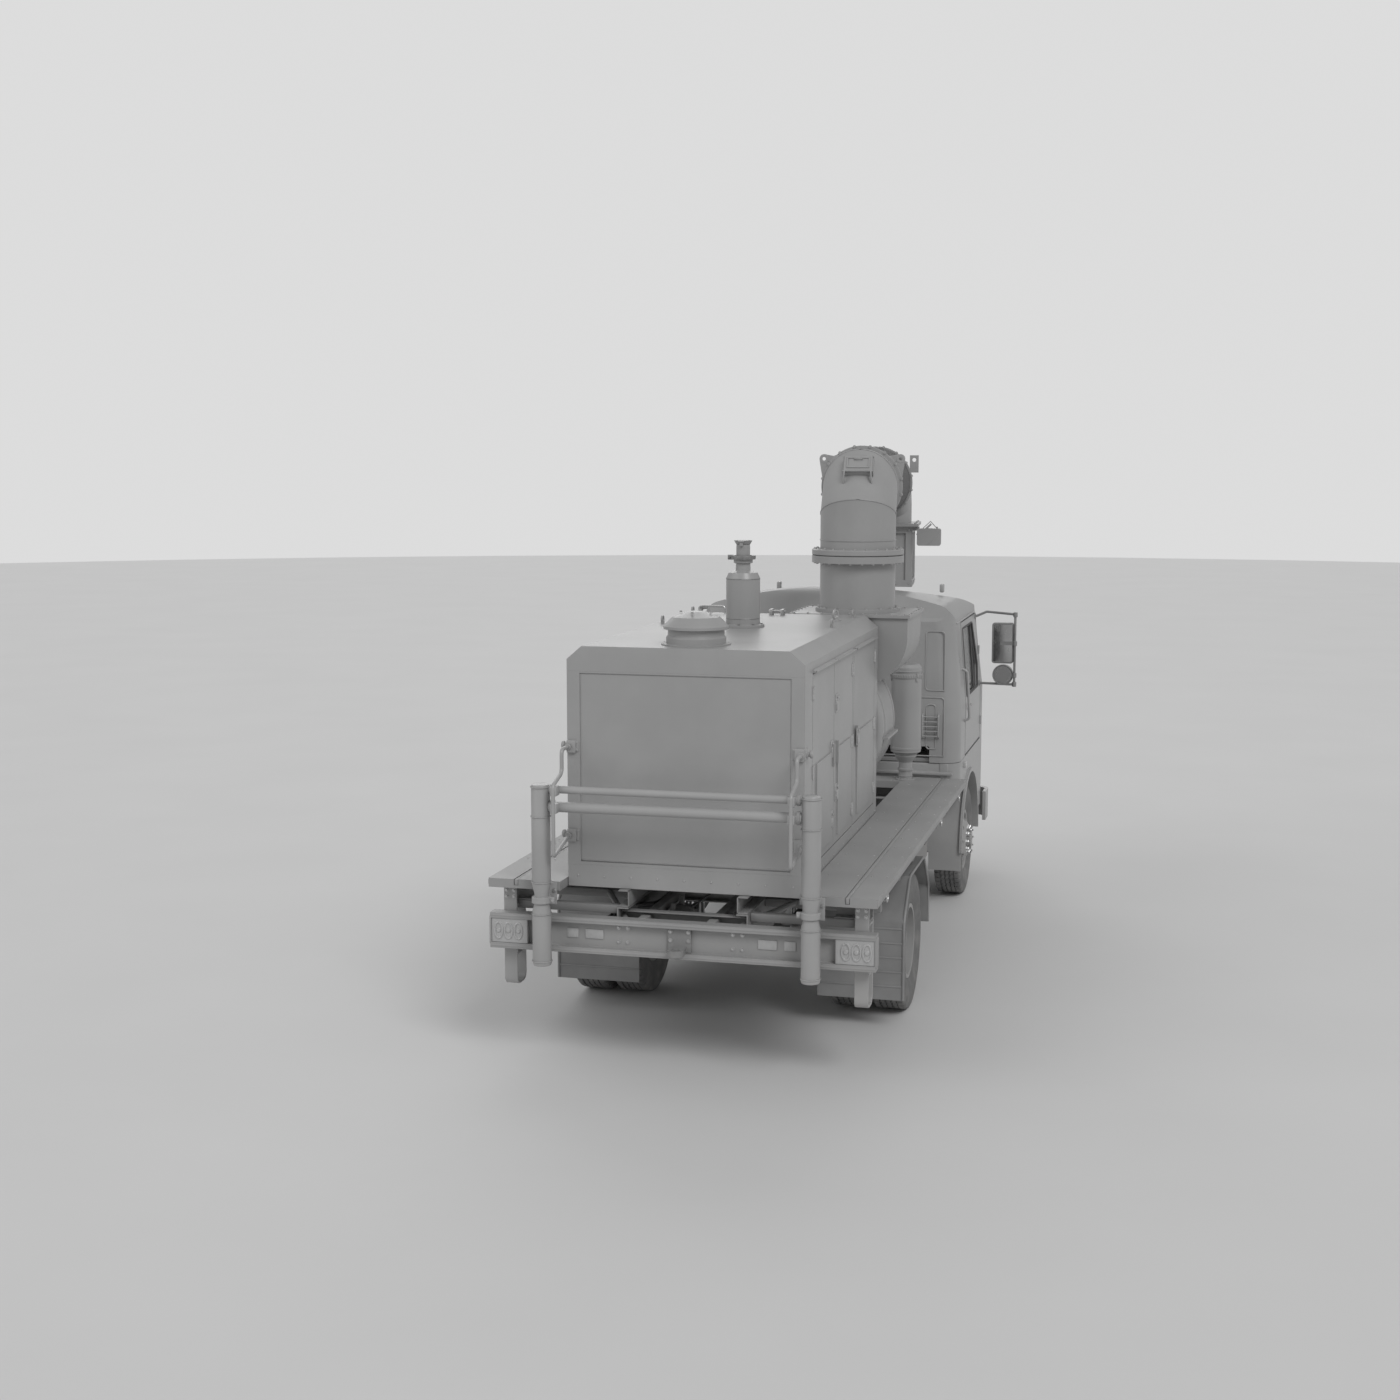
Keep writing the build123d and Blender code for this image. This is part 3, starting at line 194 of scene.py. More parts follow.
def tube(corners, radius, bend=0.03, level=(0, 0, 1), sides=10, steps=5):
    """A round bar or pipe along a polyline whose corners are rounded."""
    return sweep(path_of(corners, bend, steps), ring_profile(radius, sides), level)


def bar_profile(width, height, edge=0.002):
    """A rectangle with cut corners, for sweep."""
    w, h = width / 2, height / 2
    return [(w, h - edge), (w - edge, h), (edge - w, h), (-w, h - edge), (-w, edge - h), (edge - w, -h),
            (w - edge, -h), (w, edge - h)]


# %% From arrays to a piece
def make(name, shell, body, finish, smooth=32):
    """Puts a shell into a mesh, welds it, turns its faces outwards, and hangs it on its body."""
    points, quads = shell
    mesh = bpy.data.meshes.new(name)
    mesh.vertices.add(len(points))
    mesh.vertices.foreach_set("co", np.ascontiguousarray(points, np.float32).ravel())
    mesh.loops.add(quads.size)
    mesh.loops.foreach_set("vertex_index", np.ascontiguousarray(quads, np.int32).ravel())
    mesh.polygons.add(len(quads))
    mesh.polygons.foreach_set("loop_start", np.arange(0, quads.size, 4, dtype=np.int32))
    mesh.update(calc_edges=True)
    work = bmesh.new()
    work.from_mesh(mesh)
    bmesh.ops.remove_doubles(work, verts=work.verts, dist=1e-6)
    bmesh.ops.dissolve_degenerate(work, edges=work.edges, dist=1e-6)
    bmesh.ops.recalc_face_normals(work, faces=work.faces)
    work.to_mesh(mesh)
    work.free()
    mesh.shade_smooth()
    mesh.set_sharp_from_angle(angle=radians(smooth))
    mesh.materials.append(finish)
    piece = bpy.data.objects.new(name, mesh)
    bpy.context.scene.collection.objects.link(piece)
    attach(piece, body)
    print(f"{name}: {len(mesh.polygons)} faces on {body}")
    return piece


# %% [markdown]
# ## Finishes
# The photograph shows one grey finish all over, lit softly. Real paint, rubber and steel differ in gloss
# and grain even when they are the same grey, so each finish keeps to the photograph's grey and differs in
# its surface.


# %% Shader maths
class Value:
    """A number or colour that varies over a surface: an output socket whose arithmetic adds Math nodes."""

    def __init__(self, finish, socket):
        self.finish, self.socket = finish, socket

    def _math(self, operation, first, second):
        return self.finish.node("ShaderNodeMath", {"operation": operation}, {0: first, 1: second})

    def __add__(self, other):
        return self._math("ADD", self, other)

    def __sub__(self, other):
        return self._math("SUBTRACT", self, other)

    def __rsub__(self, other):
        return self._math("SUBTRACT", other, self)

    def __mul__(self, other):
        return self._math("MULTIPLY", self, other)

    def __pow__(self, other):
        return self._math("POWER", self, other)

    __radd__, __rmul__ = __add__, __mul__


class Finish:
    """A material being made. node() is its only way to add a node."""

    def __init__(self, name):
        self.material = bpy.data.materials.new(name)
        self.material.use_nodes = True
        self.tree = self.material.node_tree
        self.shader = self.tree.nodes["Principled BSDF"]

    def node(self, kind, settings=None, inputs=None, output=0):
        """Adds a node: settings first (stops are a ramp's positions and greys), then values or links."""
        made = self.tree.nodes.new(kind)
        for key, value in (settings or {}).items():
            if key == "stops":
                ramp = made.color_ramp
                ramp.elements[0].position, ramp.elements[1].position = value[0][0], value[-1][0]
                for position, _ in value[1:-1]:
                    ramp.elements.new(position)
                for element, (_, grey) in zip(ramp.elements, value):
                    element.color = (grey, grey, grey, 1)
            else:
                setattr(made, key, value)
        for key, value in (inputs or {}).items():
            if isinstance(value, Value):
                self.tree.links.new(value.socket, made.inputs[key])
            else:
                made.inputs[key].default_value = value
        return Value(self, made.outputs[output])

    def object_place(self):
        """Object coordinates: metres in the truck's own frame."""
        return self.node("ShaderNodeTexCoord", output="Object")

    def noise(self, where, scale, detail=3, rough=0.5):
        """Soft random grey from 0 to 1, with features about 1/scale metres across."""
        return self.node("ShaderNodeTexNoise", {"noise_dimensions": "3D"},
                         {"Vector": where, "Scale": scale, "Detail": detail, "Roughness": rough})

    def between(self, value, low, high, first=0.0, last=1.0):
        """value mapped from low..high to first..last, and held inside that."""
        return self.node("ShaderNodeMapRange", {"interpolation_type": "SMOOTHSTEP"},
                         {"Value": value, "From Min": low, "From Max": high, "To Min": first, "To Max": last})

    def mix(self, amount, first, second):
        """A colour between two: first where amount is 0, second where it is 1."""
        mixed = self.node("ShaderNodeMix", {"data_type": "RGBA"}, {0: amount}, output=2)
        node = mixed.socket.node
        for socket, colour in ((node.inputs[6], first), (node.inputs[7], second)):
            if isinstance(colour, Value):
                self.tree.links.new(colour.socket, socket)
            else:
                socket.default_value = (*colour, 1) if len(colour) == 3 else colour
        return mixed

    def set(self, **sockets):
        """Sets the shader's own sockets: numbers directly, values by a link."""
        for key, value in sockets.items():
            socket = self.shader.inputs[key.replace("_", " ")]
            if isinstance(value, Value):
                self.tree.links.new(value.socket, socket)
            else:
                socket.default_value = value
        return self.material


def grey(level, warmth=0.0):
    """A near-neutral colour: level in the middle, warmth tips it from blue to red."""
    return (level * (1 + warmth), level, level * (1 - warmth))


# %% [markdown]
# ### Paint
# Paint on a working lorry is a smooth film with a faint orange-peel ripple. It goes dull low down, where
# the road throws dust, and is rubbed paler along its edges. The edges come from the Bevel node: where its
# rounded normal leaves the face's own normal, there is an edge.


# %% Paint and steel
DUST = grey(0.36, 0.03)
EDGE_ROUND = 0.004


def painted(name, level, rough=0.38, coat=0.25, ripple=0.0006, wear=0.3, dust=0.55, round_edge=EDGE_ROUND):
    """Paint: cloudy grey, road dust below about a metre, pale rubbed edges, and a fine ripple."""
    f = Finish(name)
    at = f.object_place()
    cloud = f.noise(at, 1.7, 4)
    streak = f.noise(f.node("ShaderNodeMapping", inputs={"Vector": at, "Scale": (9, 9, 0.9)}), 1.0, 3)
    speckle = f.noise(at, 38, 4, 0.65)
    height = f.node("ShaderNodeSeparateXYZ", inputs={0: at}, output=2)
    low = f.between(height, 0.25, 1.35, 1.0, 0.0)
    dusty = low * f.between(cloud * 0.6 + speckle * 0.4, 0.35, 0.75) * dust
    rounded = f.node("ShaderNodeBevel", {"samples": 4}, {"Radius": round_edge})
    face = f.node("ShaderNodeNewGeometry", output="Normal")
    same = f.node("ShaderNodeVectorMath", {"operation": "DOT_PRODUCT"}, {0: rounded, 1: face}, output="Value")
    edge = f.between(same, 0.995, 0.86, 0.0, 1.0) * f.between(speckle, 0.42, 0.62) * wear
    base = f.mix(f.between(cloud, 0.3, 0.7), grey(level * 0.94), grey(level * 1.05))
    base = f.mix(f.between(streak, 0.5, 0.8) * 0.10, base, grey(level * 0.8))
    base = f.mix(dusty, base, DUST)
    base = f.mix(edge, base, grey(min(level * 1.5, 0.6)))
    shine = rough + dusty * 0.35 + (speckle - 0.5) * 0.10 + edge * 0.15
    bump = f.node("ShaderNodeBump", inputs={"Strength": 0.25, "Distance": ripple,
                                            "Height": f.noise(at, 260, 2), "Normal": rounded})
    return f.set(Base_Color=base, Roughness=shine, Coat_Weight=coat, Coat_Roughness=0.25, Normal=bump)


body_paint = painted("body_paint", 0.34)
duct_paint = painted("duct_paint", 0.33, rough=0.40)
guard_paint = painted("guard_paint", 0.36, rough=0.36, wear=0.45)
deck_paint = painted("deck_paint", 0.31, rough=0.52, coat=0.1, wear=0.6, dust=0.7)
wheel_paint = painted("wheel_paint", 0.33, rough=0.42, wear=0.35, dust=0.8)
chassis_steel = painted("chassis_steel", 0.24, rough=0.50, coat=0.1, wear=0.4, dust=0.8)


def bare_metal(name, level, rough, grain=90):
    """Zinc or rough casting: metal whose grey and gloss wander with a fine grain."""
    f = Finish(name)
    at = f.object_place()
    fine, broad = f.noise(at, grain, 5, 0.6), f.noise(at, 6, 3)
    base = f.mix(f.between(fine, 0.35, 0.65), grey(level * 0.85), grey(level * 1.1))
    bump = f.node("ShaderNodeBump", inputs={"Strength": 0.3, "Distance": 0.0008, "Height": fine})
    return f.set(Base_Color=base, Metallic=0.85, Roughness=rough + (fine - 0.5) * 0.2 + (broad - 0.5) * 0.15,
                 Normal=bump)


zinc = bare_metal("zinc", 0.55, 0.38)
dark_metal = bare_metal("dark_metal", 0.30, 0.5)


def cast(name, level):
    """Sand-cast iron under matt paint: a pebbled skin with oily darker hollows."""
    f = Finish(name)
    at = f.object_place()
    pebble, broad = f.noise(at, 160, 4, 0.7), f.noise(at, 7, 4)
    base = f.mix(f.between(broad, 0.35, 0.7), grey(level), grey(level * 0.6))
    bump = f.node("ShaderNodeBump", inputs={"Strength": 0.5, "Distance": 0.0015, "Height": pebble})
    return f.set(Base_Color=base, Metallic=0.2, Roughness=0.5 + (broad - 0.5) * 0.4, Normal=bump)


cast_metal = cast("cast_metal", 0.18)


# %% [markdown]
# ### Rubber, plastic, glass and cloth
# Tyre rubber is matt with grey dust in its hollows. Moulded plastic has a fine leathery grain. Glass is a
# thin dark sheet here, since the photograph shows the cab closed and grey. Seat cloth is a plain weave.


# %% Rubber, plastic, glass and cloth
def rubber(name, level, dust_level=0.5, top=1.0):
    """Matt rubber: fine pores, pale dust that thins out upwards."""
    f = Finish(name)
    at = f.object_place()
    pores, broad = f.noise(at, 220, 3, 0.6), f.noise(at, 9, 5, 0.6)
    height = f.node("ShaderNodeSeparateXYZ", inputs={0: at}, output=2)
    dusty = f.between(broad, 0.35, 0.8) * f.between(height, 0.0, top, 1.0, 0.35) * dust_level
    base = f.mix(dusty, grey(level), DUST)
    bump = f.node("ShaderNodeBump", inputs={"Strength": 0.35, "Distance": 0.0006, "Height": pores})
    return f.set(Base_Color=base, Roughness=0.72 + dusty * 0.2, Normal=bump)


def moulded(name, level, rough=0.5):
    """Moulded plastic: a leathery grain of small cells."""
    f = Finish(name)
    at = f.object_place()
    cells = f.node("ShaderNodeTexVoronoi", {"feature": "SMOOTH_F1"}, {"Vector": at, "Scale": 420.0})
    broad = f.noise(at, 5, 3)
    base = f.mix(f.between(broad, 0.3, 0.7), grey(level * 0.92), grey(level * 1.1))
    bump = f.node("ShaderNodeBump", inputs={"Strength": 0.3, "Distance": 0.0004, "Height": cells})
    return f.set(Base_Color=base, Roughness=rough + (broad - 0.5) * 0.15, Normal=bump)


tyre_rubber = rubber("tyre_rubber", 0.15)
hose_rubber = rubber("hose_rubber", 0.13, 0.15)
black_plastic = moulded("black_plastic", 0.25)
trim_rubber = rubber("trim_rubber", 0.09, 0.2)


def glazing():
    """Cab glass: a thin grey sheet that lets under half the light through, with a trace of dust."""
    f = Finish("cab_glass")
    at = f.object_place()
    film = f.noise(at, 3.5, 5, 0.6)
    f.set(Transmission_Weight=0.0, IOR=1.45, Base_Color=f.mix(film, grey(0.12), grey(0.20)),
          Roughness=f.between(film, 0.3, 0.8, 0.03, 0.16), Alpha=f.between(film, 0.3, 0.8, 0.50, 0.62))
    return f.material


def mirror_glass():
    """A mirror: polished metal behind glass, with faint smears."""
    f = Finish("mirror_glass")
    smear = f.noise(f.object_place(), 14, 5, 0.6)
    return f.set(Base_Color=f.mix(smear, grey(0.42), grey(0.50)), Metallic=1.0,
                 Roughness=f.between(smear, 0.3, 0.8, 0.18, 0.32))


def lens(name, level):
    """A lamp lens: clear plastic over a bright bowl, with fine flutes."""
    f = Finish(name)
    at = f.object_place()
    flute = f.node("ShaderNodeTexWave", {"bands_direction": "X"},
                   {"Vector": at, "Scale": 30.0, "Distortion": 0.2})
    bump = f.node("ShaderNodeBump", inputs={"Strength": 0.5, "Distance": 0.001, "Height": flute})
    tint = f.mix(f.noise(at, 20, 2), grey(level * 0.85), grey(level * 1.1))
    return f.set(Base_Color=tint, Roughness=0.12, Coat_Weight=0.8, Normal=bump)


def woven(name, level):
    """Seat cloth: warp and weft as two crossed waves, whose product makes the plain weave."""
    f = Finish(name)
    at = f.object_place()
    warp = f.node("ShaderNodeTexWave", {"bands_direction": "X"},
                  {"Vector": at, "Scale": 95.0, "Distortion": 0.6})
    weft = f.node("ShaderNodeTexWave", {"bands_direction": "DIAGONAL"},
                  {"Vector": at, "Scale": 95.0, "Distortion": 0.6})
    weave = warp * weft
    base = f.mix(weave, grey(level * 0.7), grey(level * 1.25))
    bump = f.node("ShaderNodeBump", inputs={"Strength": 0.6, "Distance": 0.0012, "Height": weave})
    return f.set(Base_Color=base, Roughness=0.9, Sheen_Weight=0.25, Normal=bump)


cab_glass, mirror_face = glazing(), mirror_glass()
lamp_lens, seat_cloth = lens("lamp_lens", 0.42), woven("seat_cloth", 0.17)

# %% Give every CAD node its finish
FINISH_OF_SLOT = {"chassis_steel": chassis_steel, "body_paint": body_paint, "deck_paint": deck_paint,
                  "duct_paint": duct_paint, "guard_paint": guard_paint, "wheel_paint": wheel_paint,
                  "tyre": tyre_rubber, "hose_rubber": hose_rubber, "black_plastic": black_plastic,
                  "glass": cab_glass, "lamp_lens": lamp_lens, "seat_cloth": seat_cloth,
                  "cast_metal": cast_metal}
SLOT_OF_NODE = {part["node"]: part["material_slot"] for part in frame["record"]["subparts"]}
for node_name, node in NODES.items():
    node.data.materials[0] = FINISH_OF_SLOT[SLOT_OF_NODE[node_name]]
print("finished", len(NODES), "nodes")

# %% [markdown]
# ## Stations
# Where the CAD model's main faces stand, in metres in the truck's own frame. Fittings are placed from
# these.

# %% Stations and fasteners
DECK_END, DECK_TOP = 3.375, 1.205
CANOPY_SIDE, CANOPY_BACK, CANOPY_TOP = 0.765, 3.225, 2.687
CAB_NOSE, CAB_BACK, CAB_SIDE = -3.375, -1.475, 1.150
AXLES = {"front": -2.275, "rear": 1.475}
REAR_AXLE, FRONT_AXLE = AXLES["rear"], AXLES["front"]
TYRE_RADIUS = 0.480
DUCT = (-0.540, 0.085)
BOOM_TURN, BOOM_AXIS_Z, BOOM_REACH = 6.0, 3.630, 2.725
BOOM = place(DUCT[0], DUCT[1], 0.0, BOOM_TURN)


def facing(way, x, y, z, spin=0.0):
    """A matrix that spins about local z, turns local z to a direction and moves to a point."""
    w = np.asarray(way, float) / np.linalg.norm(way)
    level = (0, 0, 1) if abs(w[2]) < 0.9 else (0, 1, 0)
    u = np.cross(level, w)
    u /= np.linalg.norm(u)
    matrix = np.eye(4)
    matrix[:3, :3] = np.stack([u, np.cross(w, u), w], axis=1)
    matrix[:3, 3] = x, y, z
    return matrix @ place(turn=spin)


UP, REAR, FRONT, LEFT, RIGHT = (0, 0, 1), (0, 1, 0), (0, -1, 0), (1, 0, 0), (-1, 0, 0)


def bolt(across_flats=0.016, height=0.008):
    """A hexagon head on a round washer, standing on z = 0."""
    r = across_flats / 2
    washer = disc(r * 1.5, -0.001, height * 0.2, steps=12)
    head = lathe([(0, 0), (r * 1.12, 0), (r * 1.12, height * 0.85), (r * 0.95, height), (0, height)], 6)
    return join(washer, head)


def rivet(radius=0.005):
    """A low domed screw head standing on z = 0."""
    return lathe([(0, -0.001), (radius, -0.001), (radius, radius * 0.15), (radius * 0.7, radius * 0.5),
                  (0, radius * 0.6)], 10)


def row(way, start, end, count, spin=0.0):
    """Matrices for a straight row of fasteners that face one way, from one point to another."""
    return [facing(way, *point, spin) for point in np.linspace(start, end, count)]


def ring_of(radius, count, centre=(0, 0, 0), way=UP, first=0.0):
    """Matrices for fasteners spaced round a circle, all facing one way."""
    angle = radians(first) + np.arange(count) * tau / count
    base = facing(way, *centre)
    return [base @ place(radius * cos(a), radius * sin(a), 0) for a in angle]


# %% [markdown]
# ## Tyres
# Each tyre is one closed band: a cross-section carried round the axle. The tread's long grooves are rows of
# the section that sink and swing from side to side in a zigzag. Its cross slots are columns that sink, six
# columns to each repeat of the pattern, so the grooves have clean walls with few faces.

# %% Tyres
TREAD_STEPS, GROOVE_DEPTH, OUTER_SLOT, MIDDLE_SLOT, ZIGZAG = 50, 0.013, 0.010, 0.006, 0.004
INNER_RIBS, SHOULDER, SHOULDER_R, BEAD_R = 0.058, 0.070, 0.44, 0.252
FRONT_TYRE_X, OUTER_TWIN_X, INNER_TWIN_X = 1.0175, 1.0775, 0.7825


def tyre_section():
    """Rows from bead to bead: (across, radius, tread), where tread is 0 side, 1 rib and 2 groove floor."""
    side = [(0.084, 0.252), (0.090, 0.262), (0.098, 0.270), (0.098, 0.277), (0.104, 0.290), (0.112, 0.318),
            (0.1165, 0.340), (0.1185, 0.346), (0.1200, 0.352), (0.1225, 0.362), (0.1225, 0.385),
            (0.1195, 0.412), (0.1175, 0.418), (0.1165, 0.430), (0.1140, 0.446), (0.1130, 0.458),
            (0.1070, 0.470)]
    ribs = [(0.100, 0.4765, 1), (0.0900, 0.4790, 1), (0.0640, 0.4797, 1), (0.0625, 0.4797, 2),
            (0.0545, 0.4797, 2), (0.0530, 0.4797, 1), (0.0250, 0.4797, 1), (0.0235, 0.4797, 2),
            (0.0155, 0.4797, 2), (0.0140, 0.4797, 1)]
    right = [(x, r, 0) for x, r in side] + ribs
    left = [(-x, r, t) for x, r, t in reversed(right)]
    return np.array(right + left)


def tyre_shell(centre):
    """The section carried round. A zigzag sways the inner rows by 4 mm, and slots sink the ribs."""
    across, radius, tread = tyre_section().T
    phase = np.array([0.0, 0.035, 0.165, 0.20, 0.50, 0.80])
    turn = (np.arange(TREAD_STEPS)[:, None] + phase).ravel() / TREAD_STEPS * tau
    wave = np.tile(np.array([-1.0, -0.9, 0.0, 0.3, 1.0, 0.2]) * ZIGZAG, TREAD_STEPS)
    slot = np.tile(np.array([0.0, 1.0, 1.0, 0.0, 0.0, 0.0]), TREAD_STEPS)
    inner = (np.abs(across) < INNER_RIBS) & (tread > 0)
    sway = np.where(inner[:, None], wave, 0.0) + across[:, None]
    outer_slot = ((np.abs(across) > SHOULDER) & (radius > SHOULDER_R))[:, None] & (slot > 0)
    middle_slot = inner[:, None] & (np.roll(slot, 3) > 0)
    sink = GROOVE_DEPTH * (tread == 2)[:, None] + OUTER_SLOT * outer_slot + MIDDLE_SLOT * middle_slot
    r = radius[:, None] - np.minimum(sink, GROOVE_DEPTH)
    points = np.stack([centre + sway, r * np.cos(turn), r * np.sin(turn)], axis=-1)
    foot = np.stack([centre + 0 * turn, BEAD_R * np.cos(turn), BEAD_R * np.sin(turn)], axis=-1)
    return grid(np.concatenate([points, foot[None], points[:1]]), around=True)


def wheel_place(axle):
    """The matrix that carries a wheel modelled about the x axis to its axle."""
    return [place(0, AXLES[axle], TYRE_RADIUS)]


for side_name, flip in SIDES:
    front_tyre = copies(tyre_shell(FRONT_TYRE_X), wheel_place("front"))
    twin = copies(join(tyre_shell(OUTER_TWIN_X), tyre_shell(INNER_TWIN_X)), wheel_place("rear"))
    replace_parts(make(f"tread_front_{side_name}", flip(front_tyre), f"front_wheel_{side_name}", tyre_rubber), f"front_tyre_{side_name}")
    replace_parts(make(f"tread_rear_{side_name}", flip(twin), f"rear_wheels_{side_name}", tyre_rubber),
                f"rear_tyres_{side_name}")

# %% Wheel nuts, hub caps and valves
def wheel_furniture(disc_x, hub_x, cap_x, rim_x):
    """Ten nuts on studs, a flanged hub with its small bolts, a cap, a valve and the rim's lock ring."""
    nut = join(lathe([(0, 0), (0.023, 0), (0.019, 0.006), (0.0165, 0.007), (0.0165, 0.022), (0.014, 0.026),
                      (0, 0.026)], 6), disc(0.0085, 0.02, 0.042, 0.002, 10))
    nuts = copies(nut, ring_of(0.113, 10, (disc_x, 0, 0), LEFT))
    caps = copies(bolt(0.013, 0.007), ring_of(0.081, 8, (hub_x, 0, 0), LEFT, 20))
    cap = lathe([(0.070, hub_x - 0.004), (0.072, hub_x + 0.010), (0.066, hub_x + 0.014),
                 (0.060, cap_x - 0.006), (0.052, cap_x + 0.001), (0.030, cap_x + 0.003),
                 (0.028, cap_x - 0.003), (0, cap_x - 0.003)], 28, "x")
    valve = tube([(rim_x - 0.05, 0.205, 0), (rim_x - 0.02, 0.202, 0), (rim_x + 0.005, 0.175, 0)], 0.004,
                 sides=8)
    lock = lathe([(0.2440, rim_x + 0.006), (0.2500, rim_x + 0.011), (0.2560, rim_x + 0.011),
                  (0.2585, rim_x + 0.006), (0.2440, rim_x + 0.004)], 48, "x")
    return join(nuts, caps, valve), join(cap, lock)


for side_name, flip in SIDES:
    for axle, values in (("front", (1.145, 1.153, 1.181, 1.1035)), ("rear", (0.944, 1.045, 1.085, 1.1635))):
        steel, painted_parts = wheel_furniture(*values)
        body = f"front_wheel_{side_name}" if axle == "front" else f"rear_wheels_{side_name}"
        make(f"nuts_{axle}_{side_name}", flip(copies(steel, wheel_place(axle))), body, zinc)
        make(f"hub_{axle}_{side_name}", flip(copies(painted_parts, wheel_place(axle))), body, wheel_paint)

# %% [markdown]
# ## Canopy fittings
# Each side door hangs on three barrel hinges and shuts with one or two paddle latches. A drip rail runs
# over the doors. The rear corners carry folded brackets where the guard's rods are bolted on.

# %% Hinges, latches, gutters and brackets
DOORS = {
    # door: (rear edge, front edge, hinge edge, free edge)
    "rear": (2.975, 2.2505, 2.975, 2.2505),
    "middle": (2.2425, 1.548, 1.548, 2.2425),
    "front": (1.488, 0.625, 0.625, 1.488),
}


def barrel_hinge(y, z, toward):
    """A hinge on the left side: a barrel on the door's axis, and a leaf with two screws on the door."""
    barrel = copies(disc(0.009, -0.045, 0.045, 0.002, 12), [place(CANOPY_SIDE + 0.002, y, z)])
    leaf = slab((CANOPY_SIDE - 0.001, y, z - 0.04), (CANOPY_SIDE + 0.004, y + toward * 0.05, z + 0.04),
                0.0015)
    screws = copies(rivet(0.005), row(LEFT, (CANOPY_SIDE + 0.004, y + toward * 0.033, z - 0.024),
                                      (CANOPY_SIDE + 0.004, y + toward * 0.033, z + 0.024), 2))
    return join(barrel, leaf, screws)


def paddle_latch(y, z, out=CANOPY_SIDE):
    """A paddle latch on the left side: a dished tray, the paddle over it and a round lock."""
    tray = slab((out - 0.001, y - 0.045, z - 0.062), (out + 0.005, y + 0.045, z + 0.062), 0.003)
    paddle = slab((out + 0.004, y - 0.030, z - 0.050), (out + 0.013, y + 0.030, z + 0.020), 0.004)
    lock = copies(disc(0.010, 0, 0.012, 0.002, 14), [facing(LEFT, out + 0.004, y, z + 0.040)])
    return join(tray, paddle, lock)


def door_metal(name):
    """The hinges and latches of one left door."""
    _, _, hinge_y, free_y = DOORS[name]
    toward = 1 if free_y > hinge_y else -1
    hinges = [barrel_hinge(hinge_y, z, toward) for z in (1.42, 1.90, 2.40)]
    latch_y = free_y - toward * 0.075
    latches = {"rear": [paddle_latch(latch_y, z) for z in (1.48, 1.95)],
               "middle": [paddle_latch(latch_y - 0.012, z) for z in (1.64, 2.24)],
               "front": [paddle_latch(latch_y, 1.915, CANOPY_SIDE + 0.014)]}
    return join(*hinges, *latches[name])


def door_trim(name):
    """A thin seal showing round the left door's edge."""
    rear_y, front_y, _, _ = DOORS[name]
    x = CANOPY_SIDE - 0.004
    return tube([(x, front_y - 0.003, 1.300), (x, rear_y + 0.003, 1.300), (x, rear_y + 0.003, 2.518),
                 (x, front_y - 0.003, 2.518), (x, front_y - 0.003, 1.302)], 0.0035, 0.006, LEFT, 6, 3)


for side_name, flip in SIDES:
    for door in DOORS:
        body = f"canopy_door_{door}_{side_name}"
        make(f"latches_{door}_{side_name}", flip(door_metal(door)), body, zinc)
        make(f"seal_{door}_{side_name}", flip(door_trim(door)), body, trim_rubber)


def gutter(front_y, rear_y):
    """A drip rail: an angle whose lip turns up, on the left side above one door."""
    profile = [(0.0, 0.016), (0.006, 0.010), (0.020, 0.004), (0.024, 0.010), (0.028, 0.008), (0.026, -0.002),
               (0.010, -0.006), (0.0, -0.006)]
    points = np.array([[(CANOPY_SIDE - 0.001 + across, y, 2.533 + up) for across, up in profile]
                       for y in np.linspace(front_y, rear_y, 2)])
    return capped(points)


def corner_bracket(z):
    """A folded bracket round the rear left corner, its bolts, and a round knob on the side face."""
    wrap = slab((CANOPY_SIDE - 0.075, CANOPY_BACK - 0.075, z - 0.036),
                (CANOPY_SIDE + 0.006, CANOPY_BACK + 0.006, z + 0.036), 0.006, 2)
    knob = copies(lathe([(0, 0), (0.026, 0), (0.026, 0.006), (0.016, 0.012), (0.016, 0.020), (0.024, 0.026),
                         (0.026, 0.036), (0.020, 0.044), (0, 0.046)], 20),
                  [facing(LEFT, CANOPY_SIDE + 0.004, CANOPY_BACK - 0.038, z)])
    bolts = copies(bolt(0.013, 0.007), row(REAR, (CANOPY_SIDE - 0.058, CANOPY_BACK + 0.006, z - 0.022),
                                           (CANOPY_SIDE - 0.058, CANOPY_BACK + 0.006, z + 0.022), 2))
    return join(wrap, knob, bolts)


rails = join(*[gutter(front_y + 0.004, rear_y - 0.004) for rear_y, front_y, _, _ in DOORS.values()])
make("canopy_gutters", both_sides(rails), "chassis", body_paint)
make("canopy_brackets", both_sides(join(corner_bracket(2.05), corner_bracket(1.48))), "chassis", guard_paint)

base_screws = row(REAR, (-0.70, CANOPY_BACK, 1.22), (0.70, CANOPY_BACK, 1.22), 9)
side_screws = [facing(way, sign * CANOPY_SIDE, y, 1.225) for sign, way in ((1, LEFT), (-1, RIGHT))
               for y in np.linspace(0.56, 3.14, 15)]
make("canopy_screws", copies(rivet(0.007), base_screws + side_screws), "chassis", zinc)

# %% [markdown]
# ## Roof fittings
# A lifting eye, a bent grab handle and two small brackets stand on the canopy roof. The vent gets a skirt
# with bolts, and the exhaust stack gets a clamp, flange bolts and seams.

